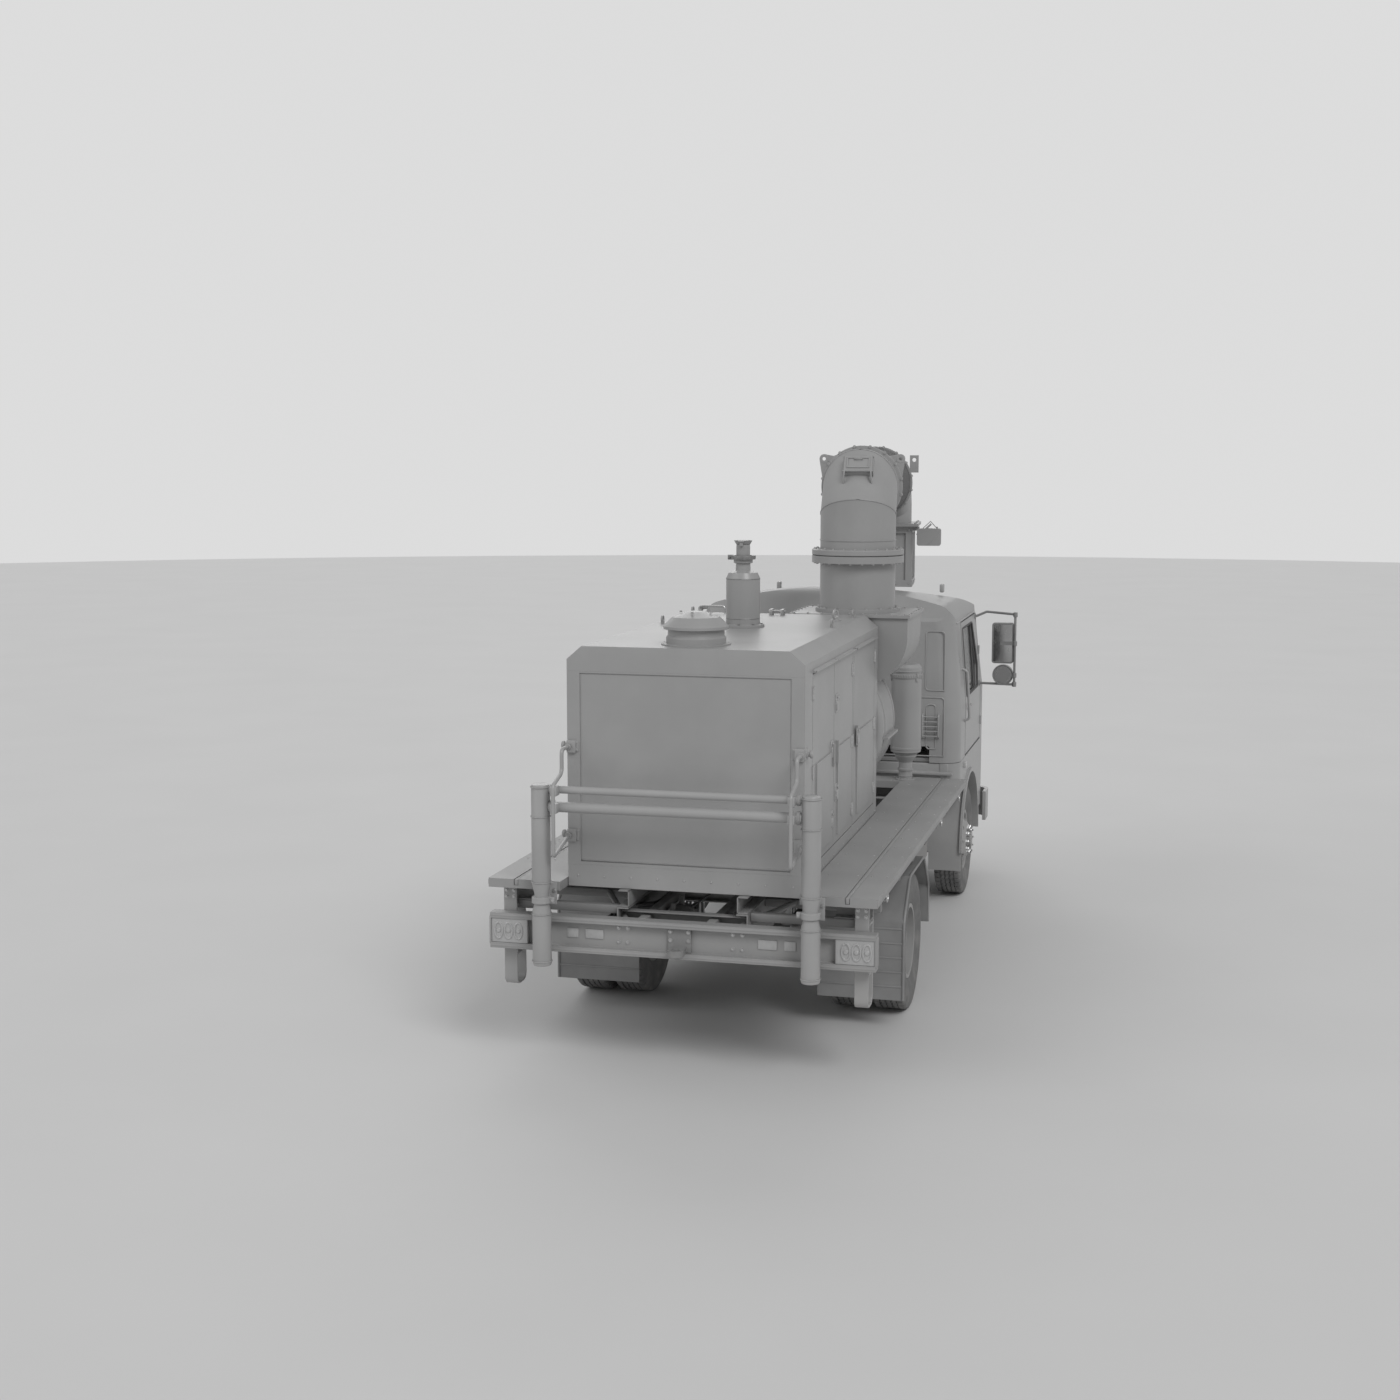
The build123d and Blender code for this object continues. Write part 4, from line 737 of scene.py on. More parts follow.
# %% Roof eye, handle, vent and exhaust fittings
def lifting_eye(x, y, turn=0.0, size=0.026):
    """A ring bolt: a torus standing on a collar and a square pad."""
    angle = np.linspace(0, tau, 20, endpoint=False)
    ring = sweep(np.stack([size * np.cos(angle), 0 * angle, size * np.sin(angle)], axis=-1),
                 ring_profile(0.009, 8), (0, 1, 0), close=True)
    foot = join(disc(0.020, -0.002, 0.016, 0.003, 16),
                slab((-0.032, -0.032, -0.002), (0.032, 0.032, 0.006), 0.002))
    return join(copies(ring, [place(x, y, CANOPY_TOP + 0.016 + size, turn)]),
                copies(foot, [place(x, y, CANOPY_TOP, turn)]))


eye = lifting_eye(-0.54, 1.005, 70, 0.030)
handle = tube([(0.40, 0.52, CANOPY_TOP), (0.40, 0.52, CANOPY_TOP + 0.05), (0.60, 0.52, CANOPY_TOP + 0.05),
               (0.60, 0.52, CANOPY_TOP)], 0.008, 0.02, (0, 1, 0))
lugs = join(*[slab((x - 0.012, y - 0.035, CANOPY_TOP - 0.001), (x + 0.012, y + 0.035, CANOPY_TOP + 0.045),
                   0.004) for x, y in ((-0.065, 0.60), (0.02, 0.60))])
lug_pin = copies(disc(0.009, -0.065, 0.065, 0.002, 12), [facing(LEFT, -0.0225, 0.60, CANOPY_TOP + 0.028)])
make("roof_eyes", join(eye, handle, lugs, lug_pin), "chassis", zinc)

STACK_Y, VENT_Y = DECK_END - 1.750, DECK_END - 0.450
stack_top = CANOPY_TOP
clamp = lathe([(0.0630, stack_top + 0.470), (0.0860, stack_top + 0.470), (0.0880, stack_top + 0.483),
               (0.0860, stack_top + 0.496), (0.0630, stack_top + 0.496)], 28)
lug = slab((0.070, -0.012, stack_top + 0.466), (0.108, 0.012, stack_top + 0.500), 0.003)
clamp_bolt = copies(bolt(0.014, 0.010), [facing(REAR, 0.096, 0.012, stack_top + 0.483),
                                         facing(FRONT, 0.096, -0.012, stack_top + 0.483)])
flange_bolts = copies(bolt(0.015, 0.010), ring_of(0.133, 8, (0, 0, stack_top + 0.018)))
seam = join(*[lathe([(0.1175, stack_top + z - 0.004), (0.1200, stack_top + z),
                     (0.1175, stack_top + z + 0.004)], 40) for z in (0.06, 0.335)])
make("stack_fittings", copies(join(clamp, lug, clamp_bolt, flange_bolts, seam), [place(0, STACK_Y, 0)]),
     "chassis", dark_metal)
vent_bolts = copies(bolt(0.014, 0.009), ring_of(0.10, 4, (0, 0, CANOPY_TOP + 0.203)))
skirt = lathe([(0.1895, CANOPY_TOP), (0.222, CANOPY_TOP), (0.222, CANOPY_TOP + 0.008),
               (0.1895, CANOPY_TOP + 0.010)], 48)
skirt_bolts = copies(rivet(0.006), ring_of(0.207, 16, (0, 0, CANOPY_TOP + 0.008)))
make("vent_skirt", copies(join(skirt, skirt_bolts, vent_bolts), [place(0, VENT_Y, 0)]), "chassis", duct_paint)

# %% [markdown]
# ## Boom and duct fittings
# These are modelled in the boom's own frame, with the duct's centre line on z and the boom lying along -y,
# and are turned into place by one matrix. Where two straight tubes meet at a mitre, the weld is an ellipse.
# For the lower mitre its height rises with y by tan(22.5 degrees), and for the upper one its y rises with
# height in the same way.

# %% Boom: welds and bolts
ELBOW_R, BEND_RISE = 0.287, np.tan(radians(22.5))
LOWER_MITRE_Z, UPPER_MITRE_Y = 3.425, -0.205
HEAD_Y = -BOOM_REACH
FLANGE_Y, HEAD_FLANGE_Y = -0.410, HEAD_Y + 0.410


def mitre_weld(radius, vertical, level, slope, bead=0.0045):
    """The bead round a mitre: (r cos a, r sin a, level + slope r sin a), or with y and z exchanged."""
    a = np.arange(64) * tau / 64
    flat = np.stack([radius * np.cos(a), radius * np.sin(a), level + slope * radius * np.sin(a)], axis=-1)
    if not vertical:
        flat = flat[:, [0, 2, 1]] + (0, 0, BOOM_AXIS_Z)
    return sweep(flat, ring_profile(bead, 6), (1, 0.01, 0.02), close=True)


def seam_line(start, end, bead=0.003):
    """A straight weld between two points."""
    return tube([start, (np.asarray(start) + end) / 2, end], bead, sides=6)


elbow_welds = join(mitre_weld(ELBOW_R, True, LOWER_MITRE_Z, BEND_RISE),
                   mitre_weld(ELBOW_R, False, UPPER_MITRE_Y, BEND_RISE),
                   lathe([(0.2865, 3.238), (0.2910, 3.237), (0.2910, 3.229), (0.2865, 3.228)], 64),
                   seam_line((0, -ELBOW_R, 3.25), (0, -ELBOW_R, 3.30)))
head_welds = join(mitre_weld(ELBOW_R, False, HEAD_Y - UPPER_MITRE_Y, -BEND_RISE),
                  copies(mitre_weld(ELBOW_R, True, LOWER_MITRE_Z, -BEND_RISE), [place(0, HEAD_Y, 0)]))
make("boom_welds", copies(join(elbow_welds, head_welds), [BOOM]), "boom", duct_paint)

ring_top = ring_of(0.327, 24, (0, 0, 3.165))
ring_nuts = ring_of(0.327, 24, (0, 0, 3.063), (0, 0, -1))
flange_ring = ring_of(0.3135, 16, (0, FLANGE_Y + 0.024, BOOM_AXIS_Z), REAR, 11.25)
far_ring = ring_of(0.3135, 16, (0, HEAD_FLANGE_Y, BOOM_AXIS_Z), REAR, 11.25)
brim = [m for s in (-1, 1) for m in row(UP, (s * 0.345, HEAD_Y - 0.33, 3.270),
                                        (s * 0.345, HEAD_Y + 0.33, 3.270), 5)]
make("boom_bolts", copies(bolt(0.017, 0.010), [BOOM @ m for m in ring_top + flange_ring + far_ring + brim]),
     "boom", zinc)
riser_places = [place(*DUCT, 0) @ m for m in ring_nuts + ring_of(0.304, 16, (0, 0, 2.718))]
make("riser_bolts", copies(bolt(0.017, 0.010), riser_places), "chassis", zinc)

# %% Hatch legs and lid
HATCH = BOOM @ facing((0, 1, 1), 0, 0.0444, 3.7864)


def hatch_leg(x):
    """A bent leg under the hatch: out of the frame, over the hinge pin and down on to the elbow."""
    path = path_of([(x, -0.068, 0.016), (x, -0.090, 0.044), (x * 1.03, -0.128, 0.020),
                    (x * 1.05, -0.152, -0.024)], 0.02, 6)
    return sweep(path, bar_profile(0.022, 0.012, 0.003), (1, 0, 0))


pin = copies(disc(0.006, -0.118, 0.118, 0.002, 10), [facing(LEFT, 0, -0.086, 0.042)])
hatch_stop = join(slab((-0.06, 0.060, 0.010), (-0.02, 0.068, 0.030), 0.002),
                  slab((0.02, 0.060, 0.010), (0.06, 0.068, 0.030), 0.002))
make("hatch_legs", copies(join(hatch_leg(-0.100), hatch_leg(0.100), pin, hatch_stop), [HATCH]), "boom",
     duct_paint)
border = join(slab((-0.088, 0.044, 0.040), (0.088, 0.056, 0.050), 0.002),
              slab((-0.088, -0.056, 0.040), (0.088, -0.044, 0.050), 0.002),
              slab((-0.088, -0.050, 0.040), (-0.076, 0.050, 0.050), 0.002),
              slab((0.076, -0.050, 0.040), (0.088, 0.050, 0.050), 0.002))
lid_pull = tube([(-0.03, 0.030, 0.041), (-0.03, 0.030, 0.056), (0.03, 0.030, 0.056), (0.03, 0.030, 0.041)],
                0.004, 0.008, (0, 1, 0), 8)
make("hatch_lid", copies(join(border, lid_pull), [HATCH]), "boom_hatch", duct_paint)

# %% Hose clamps, floodlight and head
def band_clamp(y):
    """A worm-drive band round the hose: a thin hoop with turned edges and a screw housing on top."""
    hoop = lathe([(0.2985, y - 0.016), (0.3020, y - 0.017), (0.3020, y - 0.014), (0.3005, y - 0.012),
                  (0.3005, y + 0.012), (0.3020, y + 0.014), (0.3020, y + 0.017), (0.2985, y + 0.016)], 72,
                 "y")
    housing = slab((-0.024, y - 0.015, 0.298), (0.024, y + 0.015, 0.318), 0.003)
    screw = copies(bolt(0.013, 0.012), [facing(LEFT, 0.024, y, 0.308)])
    return join(hoop, housing, screw)


clamps = join(band_clamp(FLANGE_Y - 0.035), band_clamp(HEAD_FLANGE_Y + 0.035))
make("hose_clamps", copies(clamps, [BOOM @ place(0, 0, BOOM_AXIS_Z)]), "boom", zinc)

lamp_place = BOOM @ place(-0.470, HEAD_Y + 0.320, 3.178) @ place(turn=43, about="y")
lamp_rim = slab((-0.078, -0.062, -0.062), (0.078, 0.062, -0.050), 0.004)
lamp_fins = copies(slab((-0.070, -0.055, 0.050), (0.070, -0.050, 0.066), 0.001),
                   [place(0, k * 0.0175, 0) for k in range(7)])
lamp_yoke = join(slab((-0.086, -0.010, -0.020), (-0.080, 0.010, 0.080), 0.001),
                 slab((0.080, -0.010, -0.020), (0.086, 0.010, 0.080), 0.001),
                 slab((-0.086, -0.010, 0.076), (0.086, 0.010, 0.082), 0.001),
                 copies(bolt(0.014, 0.009), [facing(RIGHT, -0.086, 0, 0), facing(LEFT, 0.086, 0, 0)]))
make("floodlight_case", copies(join(lamp_rim, lamp_fins, lamp_yoke), [lamp_place]), "boom", duct_paint)
make("floodlight_lens", copies(slab((-0.068, -0.052, -0.0655), (0.068, 0.052, -0.055), 0.004), [lamp_place]),
     "boom", lamp_lens)

HEAD_HALF, SCREW_REACH, SCREW_ROWS = 0.320, 0.29, (2.742, 3.216)
panel_bolts, ribs = [], []
for s in (-1, 1):
    for z in SCREW_ROWS:
        panel_bolts += row((0, s, 0), (-SCREW_REACH, HEAD_Y + s * HEAD_HALF, z),
                           (SCREW_REACH, HEAD_Y + s * HEAD_HALF, z), 6)
    for z in SCREW_ROWS:
        panel_bolts += row((s, 0, 0), (s * HEAD_HALF, HEAD_Y - SCREW_REACH, z),
                           (s * HEAD_HALF, HEAD_Y + SCREW_REACH, z), 6)
    ribs += [slab((-0.012, HEAD_Y + s * 0.298, 2.775), (0.012, HEAD_Y + s * 0.316, 3.184), 0.003),
             slab((s * 0.298, HEAD_Y - 0.012, 2.775), (s * 0.316, HEAD_Y + 0.012, 3.184), 0.003)]
make("head_ribs", copies(join(*ribs), [BOOM]), "boom", duct_paint)
make("head_bolts", copies(rivet(0.008), [BOOM @ m for m in panel_bolts]), "boom", zinc)

# %% [markdown]
# ## Fan, outlet and air cleaner
# Bolts ring the fan's front plate, eight spokes stiffen it round the bearing, and two hoops go round the
# drum. The air cleaner gets its knurled lid, bands and clips.

# %% Fan and air cleaner fittings
FAN, FAN_REAR, FAN_DEPTH, FAN_R = (-0.250, 1.840), 0.475, 0.620, 0.560
FAN_FACE = FAN_REAR - FAN_DEPTH
rim_bolts = ring_of(FAN_R - 0.055, 24, (FAN[0], FAN_FACE, FAN[1]), FRONT)
hub_bolts = ring_of(0.105, 8, (FAN[0], FAN_FACE - 0.016, FAN[1]), FRONT)
make("fan_bolts", copies(bolt(0.016, 0.010), rim_bolts + hub_bolts), "chassis", zinc)
bearing = copies(lathe([(0.16, 0), (0.16, 0.006), (0.135, 0.016), (0.075, 0.016), (0.070, 0.060),
                        (0.058, 0.072), (0, 0.072)], 36), [facing(FRONT, FAN[0], FAN_FACE, FAN[1])])
spokes = copies(slab((0.15, -0.012, -0.001), (0.50, 0.012, 0.012), 0.003),
                [facing(FRONT, FAN[0], FAN_FACE, FAN[1], a) for a in np.arange(8) * 45 + 22.5])
hoops = copies(join(*[lathe([(FAN_R - 0.0005, y - 0.010), (FAN_R + 0.006, y - 0.008),
                             (FAN_R + 0.006, y + 0.008), (FAN_R - 0.0005, y + 0.010)], 72, "y")
                      for y in (FAN_REAR - 0.10, FAN_REAR - 0.52)]), [place(FAN[0], 0, FAN[1])])
make("fan_stiffeners", join(bearing, spokes, hoops), "chassis", duct_paint)
outlet_bolts = []
for s in (-1, 1):
    outlet_bolts += row(UP, (DUCT[0] - 0.42, DUCT[1] + s * 0.358, 2.690),
                        (DUCT[0] + 0.42, DUCT[1] + s * 0.358, 2.690), 9)
    outlet_bolts += row(UP, (DUCT[0] + s * 0.448, DUCT[1] - 0.30, 2.690),
                        (DUCT[0] + s * 0.448, DUCT[1] + 0.30, 2.690), 6)
make("outlet_bolts", copies(bolt(0.014, 0.009), outlet_bolts), "chassis", zinc)

CLEANER = (-0.765, -1.025, 1.205)
knurls = copies(slab((0.1285, -0.004, 0.858), (0.1330, 0.004, 0.883), 0.001),
                [place(turn=a) for a in np.arange(40) * 9])
cap_rings = join(lathe([(0.1235, 0.905), (0.1270, 0.907), (0.1270, 0.914), (0.1235, 0.916)], 48),
                 lathe([(0.1235, 0.258), (0.1275, 0.260), (0.1275, 0.280), (0.1235, 0.282)], 48),
                 lathe([(0.055, 0.080), (0.064, 0.082), (0.064, 0.100), (0.055, 0.102)], 32),
                 lathe([(0.055, 0.030), (0.060, 0.032), (0.060, 0.040), (0.055, 0.042)], 32))
clips = copies(join(slab((0.122, -0.012, 0.826), (0.132, 0.012, 0.872), 0.002),
                    slab((0.126, -0.008, 0.862), (0.138, 0.008, 0.892), 0.002)),
               [place(turn=a) for a in (20, 140, 260)])
make("cleaner_fittings", copies(join(knurls, cap_rings, clips), [place(*CLEANER)]), "chassis", duct_paint)
cleaner_places = [place(*CLEANER) @ m for m in ring_of(0.069, 6, (0, 0, 0.012))]
make("cleaner_bolts", copies(bolt(0.012, 0.008), cleaner_places), "chassis", zinc)

# %% [markdown]
# ## Cab outside
# Seals, gutters, hinges, handles, mirrors, lamps, wipers, grille and bumper fittings, and a small ladder
# and vent on the back wall.

# %% Cab sides, doors and mirrors
MIRROR_Y, DOOR_NOSE, DOOR_TAIL = -2.920, -3.045, -1.925


def eave_x(z):
    """Half width of the cab at a height: straight to the belt, then drawn in by 60 mm up to the eaves."""
    return CAB_SIDE - 0.060 * np.clip((z - 1.750) / 0.730, 0, 1)


drip = tube([(eave_x(2.452) + 0.001, CAB_NOSE + 0.42, 2.455), (eave_x(2.452) + 0.001, CAB_BACK - 0.50, 2.455),
             (eave_x(2.452) + 0.001, CAB_BACK - 0.17, 2.455)], 0.007, 0.02, LEFT, 8)
fender_lamp = slab((1.136, CAB_BACK - 0.42, 1.190), (1.172, CAB_BACK - 0.36, 1.245), 0.010, 2)
hinges = join(*[join(copies(disc(0.012, -0.040, 0.040, 0.003, 12),
                            [place(eave_x(z) + 0.004, DOOR_NOSE - 0.004, z)]),
                     slab((eave_x(z) - 0.002, DOOR_NOSE - 0.060, z - 0.030),
                          (eave_x(z) + 0.006, DOOR_NOSE - 0.004, z + 0.030), 0.003)) for z in (1.45, 2.10)])
pillar_vents = join(*[slab((eave_x(2.06 + 0.02 * k) - 0.003, CAB_BACK - 0.30, 2.05 + 0.022 * k),
                           (eave_x(2.06 + 0.02 * k) + 0.003, CAB_BACK - 0.20, 2.062 + 0.022 * k), 0.003)
                      for k in range(6)])
grab = tube([(eave_x(at_z) + out, CAB_BACK - 0.36, z)
             for at_z, out, z in ((1.62, -0.004, 1.60), (1.62, 0.045, 1.62), (2.05, 0.045, 2.03),
                                  (2.05, -0.004, 2.05))], 0.011, 0.03, (0, 1, 0))
make("cab_side_fittings", both_sides(join(drip, hinges, pillar_vents)), "chassis", body_paint)
make("cab_grab_rails", both_sides(grab), "chassis", guard_paint)
make("side_marker_lamps", both_sides(fender_lamp), "chassis", lamp_lens)

roof_lamps = join(*[slab((x - 0.020, -2.50, 2.660), (x + 0.020, -2.44, 2.735), 0.012, 2)
                    for x in (-0.86, 0.62)])
make("roof_marker_lamps", roof_lamps, "chassis", lamp_lens)

handle_z, handle_y = 1.700, DOOR_TAIL - 0.16
door_handle = join(slab((CAB_SIDE - 0.001, handle_y - 0.085, handle_z - 0.030),
                        (CAB_SIDE + 0.004, handle_y + 0.085, handle_z + 0.030), 0.004),
                   tube([(CAB_SIDE, handle_y - 0.070, handle_z + 0.006),
                         (CAB_SIDE + 0.030, handle_y - 0.060, handle_z + 0.006),
                         (CAB_SIDE + 0.030, handle_y + 0.060, handle_z + 0.006),
                         (CAB_SIDE, handle_y + 0.070, handle_z + 0.006)], 0.008, 0.02, UP),
                   copies(disc(0.009, -0.001, 0.007, 0.002, 14),
                          [facing(LEFT, CAB_SIDE + 0.003, handle_y + 0.050, handle_z - 0.018)]))
SASH = [(DOOR_NOSE + 0.190, 1.790), (DOOR_TAIL - 0.080, 1.790), (DOOR_TAIL - 0.080, 2.380),
        (DOOR_NOSE + 0.330, 2.380), (DOOR_NOSE + 0.120, 1.990)]
sash = [(eave_x(z) - 0.001, y, z) for y, z in SASH]
window_seal = tube(sash + [sash[0]], 0.009, 0.030, LEFT, 8)
quarter = tube([(eave_x(at_z) - 0.012, DOOR_NOSE + 0.40, z)
                for at_z, z in ((1.80, 1.795), (2.1, 2.1), (2.37, 2.375))], 0.008, 0.02, LEFT, 8)
EDGE_NOSE, EDGE_TAIL = DOOR_NOSE - 0.002, DOOR_TAIL + 0.003
EDGE = [(EDGE_NOSE, 1.294), (EDGE_TAIL, 1.294), (EDGE_TAIL, 1.75), (EDGE_TAIL, 2.438), (EDGE_NOSE, 2.438),
        (EDGE_NOSE, 1.75), (EDGE_NOSE, 1.297)]
door_edge = tube([(eave_x(z) - 0.002, y, z) for y, z in EDGE], 0.0035, 0.01, LEFT, 6)
mirror_glass_piece = slab((1.274, MIRROR_Y - 0.010, 2.004), (1.446, MIRROR_Y - 0.005, 2.346), 0.002)
round_glass = copies(disc(0.083, 0, 0.004, 0.002, 32), [facing(REAR, 1.365, MIRROR_Y - 0.010, 1.885)])
mirror_rims = join(tube([(x, MIRROR_Y - 0.007, z) for x, z in ((1.270, 2.000), (1.450, 2.000), (1.450, 2.350),
                                                               (1.270, 2.350), (1.270, 2.003))],
                        0.006, 0.02, REAR, 8),
                   copies(lathe([(0.083, -0.002), (0.094, -0.002), (0.094, 0.004), (0.088, 0.009),
                                 (0.083, 0.004)], 36), [facing(REAR, 1.365, MIRROR_Y - 0.010, 1.885)]))
arm_feet = join(*[copies(join(disc(0.026, -0.004, 0.008, 0.002, 18),
                              copies(rivet(0.005), ring_of(0.018, 3, (0, 0, 0.008)))),
                         [facing(LEFT, eave_x(z), DOOR_NOSE + 0.060, z)]) for z in (1.80, 2.41)])
knuckles = copies(disc(0.020, -0.022, 0.022, 0.004, 16), [place(1.470, MIRROR_Y, z)
                                                          for z in (2.175, 1.885, 2.437, 1.803)])
for side_name, flip in SIDES:
    body = f"cab_door_{side_name}"
    make(f"door_handle_{side_name}", flip(door_handle), body, zinc)
    make(f"door_seals_{side_name}", flip(join(window_seal, quarter, door_edge)), body, trim_rubber)
    make(f"mirror_faces_{side_name}", flip(join(mirror_glass_piece, round_glass)), body, mirror_face)
    make(f"mirror_rims_{side_name}", flip(join(mirror_rims, arm_feet, knuckles)), body, black_plastic)

# %% Cab back, windscreen and grille
LADDER_RAIL = [(-0.010, 1.492), (0.030, 1.500), (0.030, 1.690), (-0.010, 1.698)]
ladder = join(*[tube([(x, CAB_BACK + out, z) for out, z in LADDER_RAIL], 0.008, 0.02, LEFT)
                for x in (-0.843, -0.978)],
              *[copies(disc(0.006, -0.0675, 0.0675, 0.001, 10), [facing(LEFT, -0.9105, CAB_BACK + 0.028, z)])
                for z in np.linspace(1.512, 1.676, 5)])
vent_slats = join(*[slab((-0.965, CAB_BACK - 0.012, z), (-0.858, CAB_BACK - 0.002, z + 0.010), 0.002)
                    for z in np.linspace(1.505, 1.665, 7)])
make("cab_back_ladder", ladder, "chassis", body_paint)
make("cab_back_vent", vent_slats, "chassis", black_plastic)
WINDOW = 0.890
back_seal = tube([(-WINDOW, CAB_BACK - 0.018, 2.212), (WINDOW, CAB_BACK - 0.018, 2.212),
                  (WINDOW, CAB_BACK - 0.018, 2.352), (-WINDOW, CAB_BACK - 0.018, 2.352),
                  (-WINDOW, CAB_BACK - 0.018, 2.215)], 0.008, 0.03, REAR, 8)


def screen_y(z):
    """Where the windscreen's outer face stands at a height: it leans back 230 mm from belt to eaves."""
    return CAB_NOSE + 0.230 * np.clip((z - 1.750) / 0.730, 0, 1)


SCREEN = 0.985
screen_seal = tube([(x, screen_y(z) + 0.004, z) for x, z in ((-SCREEN, 1.790), (SCREEN, 1.790),
                                                             (SCREEN, 2.395), (-SCREEN, 2.395),
                                                             (-SCREEN, 1.794))], 0.012, 0.06, FRONT, 8)
make("cab_window_seals", join(back_seal, screen_seal), "chassis", trim_rubber)


def wiper(x):
    """A wiper: its boss under the screen, a bent arm and the blade on the glass."""
    boss = copies(disc(0.022, -0.004, 0.016, 0.004, 18), [facing(FRONT, x, CAB_NOSE, 1.755)])
    arm = tube([(x, CAB_NOSE - 0.014, 1.755), (x + 0.20, screen_y(1.85) - 0.016, 1.85),
                (x + 0.44, screen_y(2.10) - 0.010, 2.10)], 0.006, 0.04, FRONT)
    edge = [(x + 0.30, screen_y(1.95) - 0.003, 1.83), (x + 0.44, screen_y(2.10) - 0.003, 2.10),
            (x + 0.52, screen_y(2.32) - 0.003, 2.32)]
    return join(boss, arm, sweep(edge, bar_profile(0.006, 0.018), FRONT))


slats = join(*[slab((-0.80, CAB_NOSE - 0.012, z), (0.80, CAB_NOSE + 0.004, z + 0.020), 0.004)
               for z in np.linspace(1.05, 1.40, 9)])
grille_frame = join(slab((-0.83, CAB_NOSE - 0.010, 1.01), (0.83, CAB_NOSE + 0.002, 1.035), 0.005),
                    slab((-0.83, CAB_NOSE - 0.010, 1.435), (0.83, CAB_NOSE + 0.002, 1.460), 0.005),
                    slab((-0.83, CAB_NOSE - 0.010, 1.02), (-0.805, CAB_NOSE + 0.002, 1.45), 0.005),
                    slab((0.805, CAB_NOSE - 0.010, 1.02), (0.83, CAB_NOSE + 0.002, 1.45), 0.005))
front_rail = tube([(-0.70, CAB_NOSE, 1.62), (-0.70, CAB_NOSE - 0.05, 1.62), (0.70, CAB_NOSE - 0.05, 1.62),
                   (0.70, CAB_NOSE, 1.62)], 0.012, 0.03, UP)
make("wipers_and_grille", join(wiper(-0.72), wiper(0.02), slats), "chassis", black_plastic)
make("grille_frame", join(grille_frame, front_rail), "chassis", body_paint)

# %% Front lamps and bumper fittings
bowl = lathe([(0.052, -0.004), (0.056, 0.004), (0.052, 0.010), (0.046, 0.008), (0.030, 0.002), (0, 0)], 28)
front_lamp = join(*[copies(bowl, [facing(FRONT, x, CAB_NOSE - 0.198, 0.625)]) for x in (0.84, 0.97)])
turn_lamp = slab((1.065, CAB_NOSE - 0.200, 0.585), (1.145, CAB_NOSE - 0.190, 0.665), 0.004)
make("headlamp_rims", both_sides(front_lamp), "chassis", zinc)
make("turn_lamps", both_sides(turn_lamp), "chassis", lamp_lens)
plate = slab((-0.26, CAB_NOSE - 0.206, 0.56), (0.26, CAB_NOSE - 0.200, 0.67), 0.003)
tow_pins = join(*[copies(disc(0.022, -0.012, 0.012, 0.004, 16), [facing(FRONT, x, CAB_NOSE - 0.206, 0.53)])
                  for x in (-0.45, 0.45)])
bumper_bolts = copies(bolt(0.018, 0.010), [facing(FRONT, x, CAB_NOSE - 0.200, z) for x in (-0.55, 0.55)
                                           for z in (0.60, 0.68)])
make("front_bumper_fittings", join(plate, tow_pins, bumper_bolts), "chassis", dark_metal)

# %% [markdown]
# ## Rear end and deck
# The tail lamps are ribbed lenses in the bumper's channel. Screws hold the deck's planks down. Rings, lugs
# and saddles dress the guard.

# %% Tail lamps, bumper fittings and step grips
TAIL_Y, BUMPER_LOW, BUMPER_HIGH = 3.366, 0.752, 0.981


def ribbed_lens(x):
    """Three upright oval ribs side by side, like stretched rings round three bulbs."""
    a = np.linspace(0, tau, 28, endpoint=False)
    oval = np.stack([0.026 * np.cos(a), 0 * a, 0.052 * np.sin(a)], axis=-1)
    rib = sweep(oval, ring_profile(0.0075, 8), (0, 1, 0), close=True)
    bulb = copies(lathe([(0, 0.010), (0.012, 0.008), (0.018, 0)], 16), [facing(REAR, 0, 0, 0)])
    return copies(join(rib, bulb), [place(x + dx, TAIL_Y + 0.002, 0.8665) for dx in (-0.066, 0.0, 0.066)])


end_plates = join(slab((1.2385, 3.292, 0.775), (1.2495, 3.376, 0.959), 0.005, 2),
                  slab((0.992, 3.328, 0.790), (1.000, 3.372, 0.943), 0.003))
make("tail_lamp_ribs", both_sides(ribbed_lens(1.123)), "chassis", lamp_lens)
make("bumper_ends", both_sides(end_plates), "chassis", deck_paint)
tubes = copies(disc(0.017, -1.243, 1.243, 0.004, 18), [facing(LEFT, 0, 3.360, z) for z in
                                                       (BUMPER_LOW + 0.016, BUMPER_HIGH - 0.016)])
make("bumper_tubes", tubes, "chassis", deck_paint)
bumper_bolts = [facing(REAR, x, 3.327, z) for x in (-0.40, -0.34, 0.34, 0.40) for z in (0.83, 0.92)]
hitch_bolts = [facing(REAR, x, 3.345, z) for x in (-0.058, 0.058) for z in (0.865, 0.920)]
bracket_bolts = [facing(REAR, sign * (0.860 + dx), 3.389, 1.150) for sign in (-1, 1)
                 for dx in (-0.056, 0.056)]
step_bolts = [facing(REAR, sign * x, 3.278, z) for sign in (-1, 1) for x in (1.115, 1.165)
              for z in (1.110, 1.070)]
make("rear_bolts", copies(bolt(0.018, 0.010), bumper_bolts + hitch_bolts + bracket_bolts + step_bolts),
     "chassis", zinc)
reflectors = join(slab((0.50, 3.3265, 0.840), (0.62, 3.334, 0.900), 0.003),
                  slab((0.665, 3.3265, 0.840), (0.74, 3.334, 0.900), 0.003))
make("reflectors", both_sides(reflectors), "chassis", lamp_lens)
grips = join(*[copies(disc(0.004, -0.040, 0.040, 0.001, 8), [facing(LEFT, sign * 1.140, y, 0.500)])
               for sign in (-1, 1) for y in np.linspace(3.15, 3.235, 4)])
make("step_grips", grips, "chassis", guard_paint)

